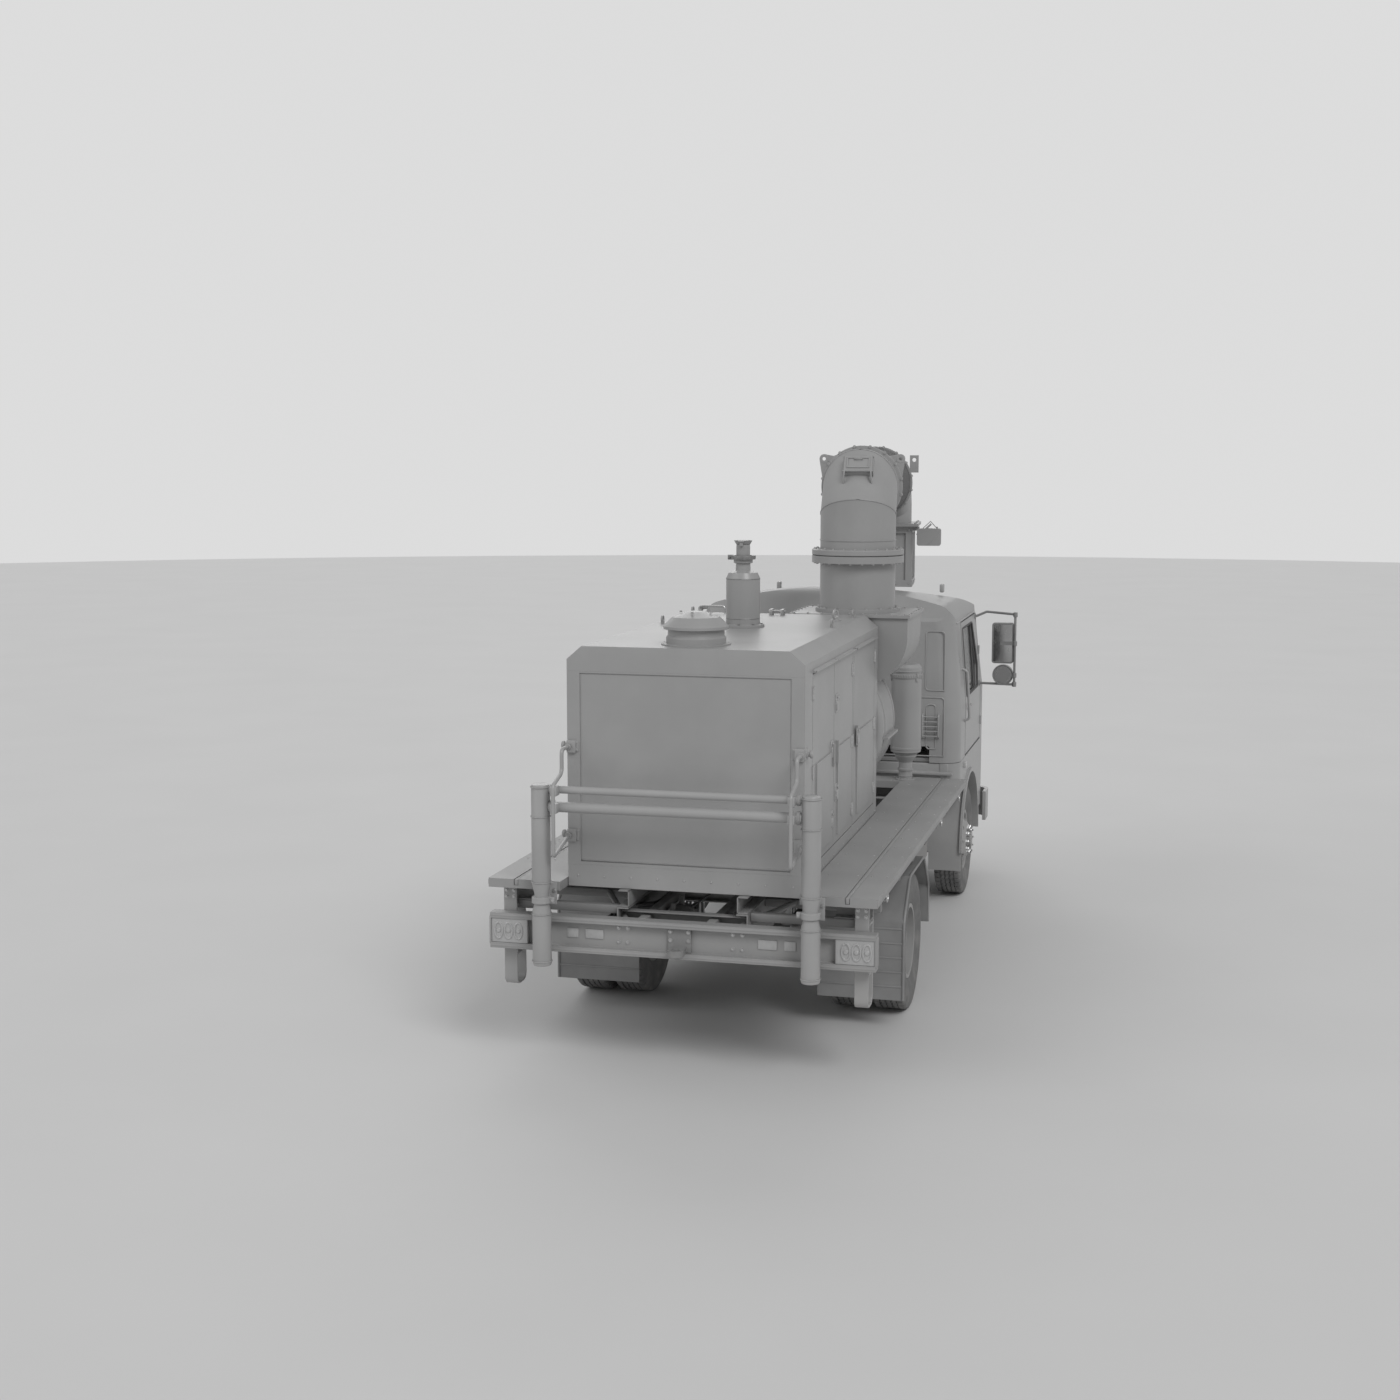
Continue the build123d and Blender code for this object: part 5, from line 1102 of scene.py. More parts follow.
# %% Guard rings, deck screws and tie-down rings
GUARD_Y, POST_X, ROD_X = 3.475, 0.860, 0.750
GUARD_BARS = ((1.704, 0.033), (1.813, 0.024))
end_rings = join(*[copies(lathe([(r + 0.0004, -0.012), (r + 0.010, -0.010), (r + 0.010, 0.010),
                                 (r + 0.0004, 0.012)], 28, "x"), [place(sign * (POST_X - 0.078), GUARD_Y, z)])
                   for sign in (-1, 1) for z, r in GUARD_BARS])
post_rings = join(*[copies(lathe([(0.0625, z - 0.004), (0.0655, z - 0.002), (0.0655, z + 0.002),
                                  (0.0625, z + 0.004)], 32), [place(sign * POST_X, GUARD_Y, 0)])
                    for sign in (-1, 1) for z in (0.716, 1.020, 1.222, 1.640, 1.826)])
collar_lugs = join(*[slab((sign * (POST_X - 0.088), GUARD_Y - 0.012, 1.090),
                          (sign * (POST_X - 0.060), GUARD_Y + 0.012, 1.126), 0.003) for sign in (-1, 1)])
rod_nuts = join(*[copies(disc(0.021, -0.010, 0.010, 0.003, 16), [facing(REAR, sign * ROD_X, y, z)])
                  for sign in (-1, 1) for y, z in ((3.262, 2.050), (3.262, 1.4815))])
saddles = join(*[slab((sign * 0.728, GUARD_Y + 0.018, z - 0.030), (sign * 0.772, GUARD_Y + 0.088, z + 0.030),
                      0.006) for sign in (-1, 1) for z, _ in GUARD_BARS])
make("guard_rings", join(end_rings, post_rings, collar_lugs, rod_nuts, saddles), "chassis", guard_paint)
lug_bolts = [facing(REAR, sign * (POST_X - 0.076), GUARD_Y + 0.012, 1.108) for sign in (-1, 1)]
saddle_bolts = [facing(REAR, sign * ROD_X, GUARD_Y + 0.088, z) for sign in (-1, 1) for z, _ in GUARD_BARS]
make("guard_bolts", copies(bolt(0.013, 0.008), lug_bolts + saddle_bolts), "chassis", zinc)

plank_screws = [place(sign * x, y, DECK_TOP) for sign in (-1, 1) for x in (0.83, 1.02, 1.11, 1.21)
                for y in np.linspace(-1.10, 2.735, 13)]
nose_screws = [place(x, y, DECK_TOP) for x in np.linspace(-0.66, 0.66, 6) for y in (-1.13, -0.955)]
make("deck_screws", copies(rivet(0.007), plank_screws + nose_screws), "chassis", zinc)
deck_edges = join(*[slab((sign * 1.236, -1.160, 1.158), (sign * 1.2545, 3.373, 1.196), 0.005)
                    for sign in (-1, 1)])
circle = np.insert(ring_profile(0.030, 20), 1, 0, axis=1)
tie_rings = copies(sweep(circle, ring_profile(0.006, 8), (0, 1, 0), close=True),
                   [place(sign * 1.243, y, 1.128, 90) for sign in (-1, 1) for y in (-0.75, 0.35, 2.95)])
make("deck_edges", deck_edges, "chassis", deck_paint)
make("tie_down_rings", tie_rings, "chassis", zinc)

# %% [markdown]
# ## Under the deck
# Air tanks, brake chambers, spring bolts, pipes and hoses fill the frame. From behind they show between the
# bumper and the canopy, so the bars, gusset, cable bundle and pipes there follow the photograph.

# %% Rear frame bars, air tanks and brake chambers
long_bars = join(*[slab((x - 0.030, 2.30, 0.930), (x + 0.030, 3.30, 0.984), 0.006) for x in (0.255, -0.19)])
gusset = join(slab((-0.385, 3.20, 0.800), (-0.378, 3.315, 0.960), 0.002),
              slab((-0.385, 3.305, 0.800), (-0.280, 3.315, 0.960), 0.003))
braces = join(tube([(-0.375, 3.25, 0.955), (-0.62, 2.80, 1.020)], 0.020, sides=10),
              tube([(0.375, 3.25, 0.955), (0.62, 2.80, 1.020)], 0.020, sides=10))
outriggers = join(*[slab((sign * 0.427, y - 0.030, 0.985), (sign * 1.180, y + 0.030, 1.039), 0.006)
                    for sign in (-1, 1) for y in (2.775, 3.20)])
deck_posts = join(*[slab((sign * 1.120, 3.205, 0.990), (sign * 1.180, 3.255, 1.146), 0.006)
                    for sign in (-1, 1)])
make("rear_frame_bars", join(long_bars, gusset, braces, outriggers, deck_posts), "chassis", chassis_steel)


def air_tank(x, y, z, length, radius):
    """A pressed tank with dished ends, two straps and a drain cock, lying along the truck."""
    h = length / 2
    dish = [(0, -h), (radius * 0.55, -h + 0.010), (radius * 0.88, -h + 0.030), (radius, -h + 0.055)]
    shell = lathe(dish + [(r, -u) for r, u in reversed(dish)], 32, "y")
    straps = join(*[lathe([(radius, u - 0.015), (radius + 0.004, u - 0.015), (radius + 0.004, u + 0.015),
                           (radius, u + 0.015)], 32, "y") for u in (-h * 0.5, h * 0.5)])
    drain = disc(0.012, -radius - 0.030, -radius + 0.004, 0.002, 10)
    hangers = join(*[slab((-0.015, u - 0.015, radius - 0.004), (0.015, u + 0.015, radius + 0.06), 0.003)
                     for u in (-h * 0.5, h * 0.5)])
    return copies(join(shell, straps, drain, hangers), [place(x, y, z)])


def brake_chamber(x, y, z, sign):
    """A brake chamber in two halves with its clamp ring, boss and pushrod fork, lying along the truck."""
    shell = lathe([(0, -0.065), (0.050, -0.062), (0.078, -0.030), (0.080, -0.008), (0.088, -0.006),
                   (0.088, 0.006), (0.080, 0.008), (0.074, 0.055), (0.045, 0.070), (0.020, 0.074),
                   (0, 0.074)], 28, "y")
    fork = join(tube([(0, 0.06, 0), (0, 0.13, 0)], 0.009, sides=8),
                slab((-0.014, 0.125, -0.014), (0.014, 0.165, 0.014), 0.003))
    return copies(join(shell, fork), [place(x, y, z, 180 if sign < 0 else 0)])


tanks = join(air_tank(-0.56, 0.15, 0.87, 0.70, 0.115), air_tank(-0.56, -0.45, 0.68, 0.401, 0.100),
             air_tank(0.18, 2.72, 0.835, 0.46, 0.085))
chambers = join(*[brake_chamber(s * 0.52, REAR_AXLE + 0.16, 0.640, -1) for s in (-1, 1)],
                *[brake_chamber(s * 0.60, FRONT_AXLE + 0.20, 0.62, -1) for s in (-1, 1)])
make("air_tanks", tanks, "chassis", chassis_steel)
make("brake_chambers", chambers, "chassis", cast_metal)

# %% U-bolts, dampers, hoses and cables
SPRING_X = 0.385


def u_bolts(y, low, high):
    """Two U-bolts over each spring at one axle, with nuts below the seat plate."""
    springs = (-SPRING_X, SPRING_X)
    loops = [tube([(x - 0.048, y + dy, low), (x - 0.048, y + dy, high), (x + 0.048, y + dy, high),
                   (x + 0.048, y + dy, low)], 0.010, 0.025, REAR) for x in springs for dy in (-0.052, 0.052)]
    plates = [slab((x - 0.065, y - 0.080, low + 0.012), (x + 0.065, y + 0.080, low + 0.026), 0.004)
              for x in springs]
    return join(*loops, *plates)


make("u_bolts", join(u_bolts(REAR_AXLE, 0.350, 0.690), u_bolts(FRONT_AXLE, 0.410, 0.650)), "chassis", zinc)
damper_feet = [(s, y) for s in (-1, 1) for y in (REAR_AXLE, FRONT_AXLE)]
shocks = join(*[tube([(s * 0.480, y + 0.09, 0.52), (s * 0.490, y + 0.24, 0.80)], 0.030, sides=14)
                for s, y in damper_feet],
              *[tube([(s * 0.490, y + 0.24, 0.76), (s * 0.495, y + 0.33, 0.955)], 0.020, sides=12)
                for s, y in damper_feet])
make("dampers", shocks, "chassis", black_plastic)


def hose_run(points, radius, bend=0.08):
    """A hose or pipe along points, with generous bends."""
    return tube(points, radius, bend, sides=8, steps=7)


BUNDLE_PATH = np.array([(0.31, -1.6, 0.90), (0.33, 0.2, 0.88), (0.30, 1.6, 0.93), (0.34, 2.6, 0.90),
                        (0.46, 2.95, 0.955), (0.50, 3.20, 0.93), (0.60, 3.30, 0.86)])
CABLES = ((0, 0), (0.022, 0.006), (0.008, 0.022), (-0.016, 0.018))
bundle = join(*[hose_run(BUNDLE_PATH + (across, 0, up), 0.010) for across, up in CABLES])
brake_lines = join(*[hose_run([(s * 0.52, 1.55, 0.66), (s * 0.44, 1.40, 0.80), (s * 0.30, 1.30, 0.90),
                               (s * 0.26, 0.6, 0.90)], 0.007) for s in (-1, 1)],
                   *[hose_run([(s * 0.60, -2.13, 0.66), (s * 0.52, -2.0, 0.80), (s * 0.34, -1.9, 0.88),
                               (s * 0.28, -1.5, 0.88)], 0.007) for s in (-1, 1)])
tank_pipes = join(hose_run([(-0.56, 0.50, 0.87), (-0.56, 0.62, 0.90), (-0.42, 0.80, 0.955),
                            (-0.30, 1.00, 0.955)], 0.008),
                  hose_run([(-0.56, -0.20, 0.87), (-0.56, -0.24, 0.76), (-0.56, -0.24, 0.70)], 0.008),
                  hose_run([(0.18, 2.49, 0.85), (0.10, 2.30, 0.90), (0.05, 1.90, 0.92)], 0.007))
make("hoses_and_cables", join(bundle, brake_lines, tank_pipes), "chassis", hose_rubber)
clips_under = join(*[slab((0.285, y - 0.010, 0.875), (0.365, y + 0.010, 0.945), 0.004)
                     for y in (-1.2, -0.4, 0.5, 1.15, 2.1)])
make("cable_clips", clips_under, "chassis", black_plastic)

frame_rivets = [facing((s, 0, 0), s * 0.425, y, z) for s in (-1, 1) for y in np.linspace(-1.05, 3.15, 22)
                for z in (0.845, 0.985)]
spring_bolts = [facing((s, 0, 0), s * 0.420, y + e, 0.745) for s in (-1, 1) for y in (REAR_AXLE, FRONT_AXLE)
                for e in (-0.62, 0.62)]
make("frame_rivets", copies(rivet(0.010), frame_rivets), "chassis", chassis_steel)
make("spring_pins", copies(bolt(0.030, 0.016), spring_bolts), "chassis", zinc)

# %% Tank straps, battery lid and mudguard ribs
TANK_X, BATTERY_X = (0.465, 1.015), (-0.945, -0.465)
straps = join(*[tube([(TANK_X[0] - 0.003, y, 0.56), (TANK_X[0] - 0.003, y, 0.98),
                      (TANK_X[1] + 0.003, y, 0.983), (TANK_X[1] + 0.003, y, 0.497),
                      (TANK_X[0] + 0.02, y, 0.497)], 0.008, 0.07, (0, 1, 0), 6, 6)
                for y in (-0.90, -0.40, 0.10, 0.48)])
filler = copies(lathe([(0.052, 0), (0.052, 0.018), (0.045, 0.024), (0.044, 0.042), (0.036, 0.048),
                       (0, 0.048)], 24), [facing((1, 0, 0.6), 0.990, 0.30, 0.945)])
latches = join(*[slab((BATTERY_X[0] - 0.012, y - 0.020, 0.86), (BATTERY_X[0] + 0.002, y + 0.020, 0.93), 0.004)
                 for y in (-0.98, -0.55)])
lid = slab((BATTERY_X[0] - 0.008, -1.133, 0.900), (BATTERY_X[1] - 0.006, -0.417, 0.968), 0.012, 2)
make("tank_straps", join(straps, latches), "chassis", zinc)
make("tank_cap_and_lid", join(filler, lid), "chassis", black_plastic)

guard_ribs = join(*[slab((s * 0.640, 2.0735, z), (s * 1.216, 2.0795, z + 0.014), 0.003) for s in (-1, 1)
                    for z in np.linspace(0.30, 0.70, 5)])
LIP = [(0.875, 0.482), (0.875, 0.760), (1.135, 1.016), (1.815, 1.016), (2.075, 0.760), (2.075, 0.214)]
guard_lip = join(*[tube([(s * 1.222, y, z) for y, z in LIP], 0.010, 0.05, LEFT, 8) for s in (-1, 1)])
make("mudguard_ribs", join(guard_ribs, guard_lip), "chassis", black_plastic)
flap_trim = join(*[slab((s * 0.945, -1.7105, z), (s * 1.155, -1.7045, z + 0.012), 0.003) for s in (-1, 1)
                   for z in (0.33, 0.37, 0.41)])
make("front_flap_edges", flap_trim, "chassis", black_plastic)


# %% [markdown]
# ## The boom's elbow
# The elbow is a mitred pipe: each straight run is cut by the plane that halves the bend, so a point at
# angle a on the mitre is lifted by its own height across the pipe times tan 22.5 degrees. Its flange
# carries two drilled ears.


# %% Elbow, flange with ears and hatch frame
def annulus(outer, inner, low, high, edge=0.002, steps=64, axis="z"):
    """A flat ring between two heights about an axis."""
    profile = [(inner, low), (outer - edge, low), (outer, low + edge), (outer, high - edge),
               (outer - edge, high), (inner, high), (inner, low)]
    return lathe(profile, steps, axis)


def prism(outline, low, high, edge=0.003):
    """A convex outline (x, z) drawn out along y between two places, its rims drawn in towards its middle."""
    flat = np.asarray(outline, float)
    middle = flat.mean(axis=0)
    reach = np.linalg.norm(flat - middle, axis=1).mean()
    rows = [(low, 1 - edge / reach), (low + edge, 1.0), (high - edge, 1.0), (high, 1 - edge / reach)]
    rings = [np.stack([middle[0] + (flat[:, 0] - middle[0]) * k, np.full(len(flat), y),
                       middle[1] + (flat[:, 1] - middle[1]) * k], axis=-1) for y, k in rows]
    return capped(np.stack(rings))


def mitred_elbow(radius, wall, low, end_y, steps=72):
    """The elbow's wall: rings at its foot, at both mitres and at its flange, outside and then back inside."""
    a = np.arange(steps) * tau / steps
    rows = []
    for r in (radius, radius - wall):
        x, s = r * np.cos(a), r * np.sin(a)
        foot = np.stack([x, s, np.full(steps, low)], axis=-1)
        first = np.stack([x, s, LOWER_MITRE_Z + BEND_RISE * s], axis=-1)
        second = np.stack([x, UPPER_MITRE_Y + BEND_RISE * s, BOOM_AXIS_Z + s], axis=-1)
        end = np.stack([x, np.full(steps, end_y), BOOM_AXIS_Z + s], axis=-1)
        near = [first + (foot - first) * 0.03, first, first + (second - first) * 0.06,
                second + (first - second) * 0.06, second, second + (end - second) * 0.06]
        rows.append([foot, *near, end])
    loop = rows[0] + rows[1][::-1] + rows[0][:1]
    return grid(np.stack(loop), around=True)


EAR_X, EAR_Z, EAR_R = 0.298, 0.215, 0.036
ear_low = [(EAR_X - 0.105, EAR_Z - 0.050), (EAR_X - 0.030, EAR_Z - 0.190), (EAR_X + 0.006, EAR_Z - 0.190),
           (EAR_X + 0.035, EAR_Z - 0.012), (EAR_X + 0.018, EAR_Z - 0.021), (EAR_X - 0.022, EAR_Z - 0.018)]
ear_high = [(EAR_X - 0.105, EAR_Z - 0.050), (EAR_X - 0.022, EAR_Z - 0.018), (EAR_X - 0.018, EAR_Z + 0.021),
            (EAR_X - 0.012, EAR_Z + 0.035), (EAR_X - 0.125, EAR_Z + 0.012)]
ears = join(*[prism(outline, FLANGE_Y + 0.001, FLANGE_Y + 0.015) for outline in (ear_low, ear_high)],
            copies(annulus(EAR_R, 0.014, FLANGE_Y, FLANGE_Y + 0.016, 0.003, 28, "y"),
                   [place(EAR_X, 0, EAR_Z)]))
ears = copies(both_sides(ears), [place(0, 0, BOOM_AXIS_Z)])
RING_LOW = 3.121
hatch_seat = join(slab((-0.115, -0.085, -0.041), (-0.095, 0.085, 0.024), 0.003),
                  slab((0.095, -0.085, -0.041), (0.115, 0.085, 0.024), 0.003),
                  slab((-0.115, -0.085, -0.041), (0.115, -0.065, 0.024), 0.003),
                  slab((-0.115, 0.065, -0.041), (0.115, 0.085, 0.024), 0.003))
elbow = join(mitred_elbow(ELBOW_R, 0.006, RING_LOW, FLANGE_Y),
             copies(annulus(0.350, 0.283, RING_LOW, RING_LOW + 0.044, 0.005, 96), [place()]),
             copies(annulus(0.317, 0.283, FLANGE_Y, FLANGE_Y + 0.024, 0.003, 72, "y"),
                    [place(0, 0, BOOM_AXIS_Z)]), ears)
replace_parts(make("elbow_with_ears", join(copies(elbow, [BOOM]), copies(hatch_seat, [HATCH])), "boom",
                 duct_paint), "boom_elbow")

# %% [markdown]
# ## Stirrup steps, subframe and bearers
# Each stirrup is one bent strap with its corners rounded by the quadratic curve of path_of, and rungs
# across it.

# %% Stirrup steps
STEP_X, STEP_WIDTH, STEP_REAR, STEP_AHEAD, STEP_LOW = 1.140, 0.088, 3.272, 3.112, 0.492
strap = bar_profile(0.012, STEP_WIDTH, 0.003)
loop_path = path_of([(STEP_X, STEP_REAR, 1.146), (STEP_X, STEP_REAR, STEP_LOW),
                     (STEP_X, STEP_AHEAD, STEP_LOW), (STEP_X, STEP_AHEAD, 1.146)], 0.055, 8)
stirrup = sweep(loop_path, strap, (1, 0, 0))


def rung(z):
    """Two round bars across a stirrup, and the flat tread that lies on them."""
    bars = [tube([(x, STEP_REAR - 0.004, z), (x, STEP_AHEAD + 0.004, z)], 0.010, sides=12)
            for x in (STEP_X - 0.03, STEP_X + 0.03)]
    return join(*bars, slab((STEP_X - 0.042, STEP_AHEAD + 0.005, z + 0.006),
                            (STEP_X + 0.042, STEP_REAR - 0.005, z + 0.012), 0.002))


heads = slab((STEP_X - 0.055, STEP_AHEAD - 0.02, 1.128), (STEP_X + 0.055, STEP_REAR + 0.012, 1.1465), 0.003)
stirrup = join(stirrup, *[rung(z) for z in (0.690, 0.850, 1.002)], heads)
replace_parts(make("stirrup_steps", both_sides(stirrup), "chassis", guard_paint), "rear_steps")

# %% Subframe, bearers and crossmembers
RAIL_LOW, RAIL_HIGH, BEARER_HIGH = 0.829, 1.040, 1.147


def channel_bar(y, low, high, x_from, x_to, wall=0.009, depth=0.078):
    """A folded channel across the truck: a web on its front side and a flange above and below."""
    front, back = y - depth / 2, y + depth / 2
    return join(slab((x_from, front, low), (x_to, front + wall, high), 0.002),
                slab((x_from, front, low), (x_to, back, low + wall), 0.002),
                slab((x_from, front, high - wall), (x_to, back, high), 0.002))


crossings = [channel_bar(y, RAIL_LOW, RAIL_HIGH - 0.03, -0.413, 0.413, 0.008, 0.070)
             for y in (3.195, 2.095, 0.855, -0.400, -1.225)]
bearer_y = np.linspace(3.315, -1.100, 8)
outer_bearers = [both_sides(channel_bar(y, RAIL_HIGH, BEARER_HIGH, 0.430, 1.190)) for y in bearer_y[1:]]
outer_bearers.append(both_sides(channel_bar(3.190, RAIL_HIGH, BEARER_HIGH, 0.960, 1.190)))
inner_bearers = [channel_bar(y, RAIL_HIGH, BEARER_HIGH, -0.425, 0.425) for y in bearer_y[2:]]
subframe = both_sides(join(slab((0.350, 0.45, RAIL_HIGH), (0.358, 3.270, BEARER_HIGH), 0.002),
                           slab((0.350, 0.45, RAIL_HIGH), (0.420, 3.270, RAIL_HIGH + 0.008), 0.002),
                           slab((0.350, 0.45, BEARER_HIGH - 0.008), (0.420, 3.270, BEARER_HIGH), 0.002)))
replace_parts(make("subframe_and_bearers", join(*crossings, *outer_bearers, *inner_bearers, subframe),
                 "chassis", chassis_steel), "frame_crossmembers")

# %% [markdown]
# ## The guard behind the deck
# Two padded posts, each a turned profile with a waist at its clamp, carry two crossbars. A bent rod at each
# side holds them off the canopy.

# %% Guard
SLEEVE_R, WAIST_R, GUARD_LOW, GUARD_HIGH = 0.060, 0.046, 0.686, 1.845
sleeve = lathe([(0, GUARD_LOW), (SLEEVE_R - 0.014, GUARD_LOW), (SLEEVE_R - 0.004, GUARD_LOW + 0.004),
                (SLEEVE_R, GUARD_LOW + 0.016), (SLEEVE_R, 1.030), (WAIST_R, 1.085), (WAIST_R, 1.150),
                (SLEEVE_R, 1.210), (SLEEVE_R, GUARD_HIGH - 0.018), (SLEEVE_R - 0.005, GUARD_HIGH - 0.005),
                (SLEEVE_R - 0.016, GUARD_HIGH), (0, GUARD_HIGH)], 40)
clamp_ring = disc(SLEEVE_R + 0.002, 1.087, 1.129, 0.004, 40)
post = copies(join(sleeve, clamp_ring), [place(POST_X, GUARD_Y)])
plates = join(slab((POST_X - 0.070, 3.375, 1.060), (POST_X + 0.070, 3.389, 1.200), 0.003),
              slab((POST_X - 0.022, 3.385, 1.090), (POST_X + 0.022, GUARD_Y, 1.130), 0.003),
              slab((POST_X - 0.022, 3.372, 0.945), (POST_X + 0.022, GUARD_Y, 0.981), 0.003))
rod_path = path_of([(ROD_X, y, z) for y, z in ((3.247, 2.050), (3.385, 2.050), (3.385, 1.905), (3.560, 1.850),
                                               (3.560, 1.400), (3.247, 1.480))], 0.035, 7)
rod = sweep(rod_path, ring_profile(0.0125, 14), (1, 0, 0))
feet = join(*[slab((0.705, 3.225, z - 0.040), (0.763, 3.249, z + 0.040), 0.004) for z in (2.050, 1.480)])
reach = POST_X - SLEEVE_R + 0.004
crossbars = join(*[copies(disc(radius, -reach, reach, 0.003, 28), [facing(LEFT, 0, GUARD_Y, z)])
                   for z, radius in GUARD_BARS])
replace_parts(make("padded_guard", join(both_sides(join(post, plates, rod, feet)), crossbars), "chassis",
                 guard_paint), "rear_guard")

# %% [markdown]
# ## The power unit under the canopy
# An engine on skids drives the fan through a bell housing and gearbox. Its radiator faces the rear panel.
# It shows when the canopy's side doors stand open.

# %% Engine block, heads and skids
ENGINE_Z, ENGINE_HALF = 1.480, 0.185
skids = both_sides(join(slab((0.300, 0.640, 1.172), (0.390, 2.840, 1.182), 0.002),
                        slab((0.340, 0.640, 1.180), (0.350, 2.840, 1.262), 0.002),
                        slab((0.300, 0.640, 1.260), (0.390, 2.840, 1.270), 0.002)))
ties = join(*[slab((-0.345, y - 0.04, 1.190), (0.345, y + 0.04, 1.250), 0.004)
              for y in (0.70, 1.35, 2.05, 2.78)])
feet = both_sides(join(*[join(slab((0.190, y - 0.05, 1.330), (0.400, y + 0.05, 1.350), 0.004),
                              copies(lathe([(0.030, 1.270), (0.045, 1.285), (0.045, 1.315), (0.030, 1.330)],
                                           20), [place(0.345, y)])) for y in (1.30, 2.10)]))
sump = join(slab((-0.150, 1.260, 1.290), (0.150, 2.180, 1.400), 0.025, 2),
            slab((-0.120, 1.70, 1.200), (0.120, 2.12, 1.300), 0.03, 2))
block = slab((-ENGINE_HALF, 1.220, 1.390), (ENGINE_HALF, 2.200, 1.760), 0.020, 2)
ribs = both_sides(join(*[slab((ENGINE_HALF - 0.006, y - 0.008, 1.43), (ENGINE_HALF + 0.014, y + 0.008, 1.72),
                              0.003) for y in np.linspace(1.30, 2.12, 7)]))
cylinder_y = np.linspace(1.315, 2.105, 6)
heads = join(*[slab((-0.165, y - 0.072, 1.762), (0.165, y + 0.072, 1.862), 0.010) for y in cylinder_y])
covers = join(*[slab((-0.120, y - 0.062, 1.860), (0.120, y + 0.062, 1.925), 0.022, 2) for y in cylinder_y])
cover_bolts = copies(bolt(0.014, 0.010), [place(x, y, 1.924) for y in cylinder_y for x in (-0.07, 0.07)]
                     + [place(s * 0.150, y + dy, 1.860) for s in (-1, 1) for y in cylinder_y
                        for dy in (-0.05, 0.05)])
bell = lathe([(0, 1.230), (0.270, 1.230), (0.275, 1.200), (0.275, 1.170), (0.250, 1.150), (0.190, 0.990),
              (0.170, 0.960), (0, 0.960)], 48, "y")
bell = copies(bell, [place(0, 0, ENGINE_Z + 0.05)])
gearbox = join(slab((-0.170, 0.760, ENGINE_Z - 0.13), (0.150, 0.965, ENGINE_Z + 0.22), 0.025, 2),
               copies(disc(0.085, 0.620, 0.765, 0.006, 28, "y"), [place(-0.05, 0, ENGINE_Z + 0.12)]),
               copies(disc(0.060, 0.640, 0.765, 0.006, 24, "y"), [place(0.09, 0, ENGINE_Z - 0.04)]),
               *[slab((-0.176, y, ENGINE_Z - 0.10), (0.156, y + 0.012, ENGINE_Z + 0.19), 0.003)
                 for y in (0.81, 0.87, 0.92)])
PULLEYS = ((0.090, 0, 1.420), (0.070, 0, 1.640), (0.045, 0.165, 1.560), (0.045, -0.165, 1.600))
pulleys = join(*[copies(lathe([(0, 2.200), (r, 2.200), (r - 0.010, 2.214), (r, 2.228), (r - 0.010, 2.242),
                               (r, 2.256), (0, 2.256)], 36, "y"), [place(x, 0, z)]) for r, x, z in PULLEYS])
alternator = copies(lathe([(0, 2.06), (0.050, 2.06), (0.066, 2.075), (0.066, 2.175), (0.050, 2.195),
                           (0, 2.195)], 28, "y"), [place(0.245, 0, 1.560)])
starter = copies(disc(0.050, 1.245, 1.50, 0.008, 24, "y"), [place(0.245, 0, 1.42)])
oil_filters = copies(lathe([(0, 0), (0.046, 0.004), (0.050, 0.020), (0.050, 0.150), (0.056, 0.156),
                            (0.056, 0.172), (0, 0.176)], 24), [place(-0.245, y, 1.40) for y in (1.62, 1.76)])
engine = join(skids, ties, feet, sump, block, ribs, heads, covers, bell, gearbox, pulleys, alternator,
              starter)
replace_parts(make("power_engine", engine, "chassis", cast_metal), "power_unit")
bell_bolts = ring_of(0.262, 16, (0, 1.170, ENGINE_Z + 0.05), FRONT)
make("power_bolts", copies(bolt(0.018, 0.012), bell_bolts), "chassis", zinc)
make("power_cover_bolts", cover_bolts, "chassis", zinc)
make("oil_filters", oil_filters, "chassis", duct_paint)

# %% Manifolds, radiator, air filter and hoses
stubs = join(*[tube([(-0.160, y, 1.815), (-0.235, y, 1.815), (-0.262, y + 0.02, 1.815)], 0.026, 0.04,
                    sides=14) for y in cylinder_y])
exhaust = join(stubs, tube([(-0.262, 1.27, 1.815), (-0.262, 2.17, 1.815)], 0.042, sides=20),
               tube([(-0.262, 1.72, 1.84), (-0.262, 1.72, 2.06), (-0.20, 1.66, 2.12), (0, 1.625, 2.14),
                     (0, 1.625, 2.37)], 0.046, 0.10, sides=20, steps=9))
intake = join(*[tube([(0.160, y, 1.815), (0.225, y, 1.815), (0.245, y, 1.850)], 0.024, 0.04, sides=14)
                for y in cylinder_y], slab((0.205, 1.260, 1.835), (0.300, 2.160, 1.925), 0.035, 3))
make("power_exhaust", exhaust, "chassis", dark_metal)
make("power_intake", intake, "chassis", cast_metal)
core = slab((-0.430, 2.700, 1.330), (0.430, 2.770, 2.190), 0.004)
tanks_end = join(slab((-0.450, 2.680, 2.180), (0.450, 2.800, 2.290), 0.030, 2),
                 slab((-0.450, 2.680, 1.260), (0.450, 2.800, 1.340), 0.025, 2))
side_plates = both_sides(slab((0.428, 2.670, 1.260), (0.446, 2.810, 2.260), 0.004))
fins = join(*[slab((-0.425, 2.695, z), (0.425, 2.775, z + 0.004), 0.001)
              for z in np.linspace(1.36, 2.16, 41)])
FAN_AXIS_Z = 1.755
shroud = lathe([(0.385, 2.560), (0.395, 2.560), (0.400, 2.640), (0.430, 2.698), (0.420, 2.698),
                (0.390, 2.640), (0.385, 2.560)], 48, "y")
shroud = copies(shroud, [place(0, 0, FAN_AXIS_Z)])
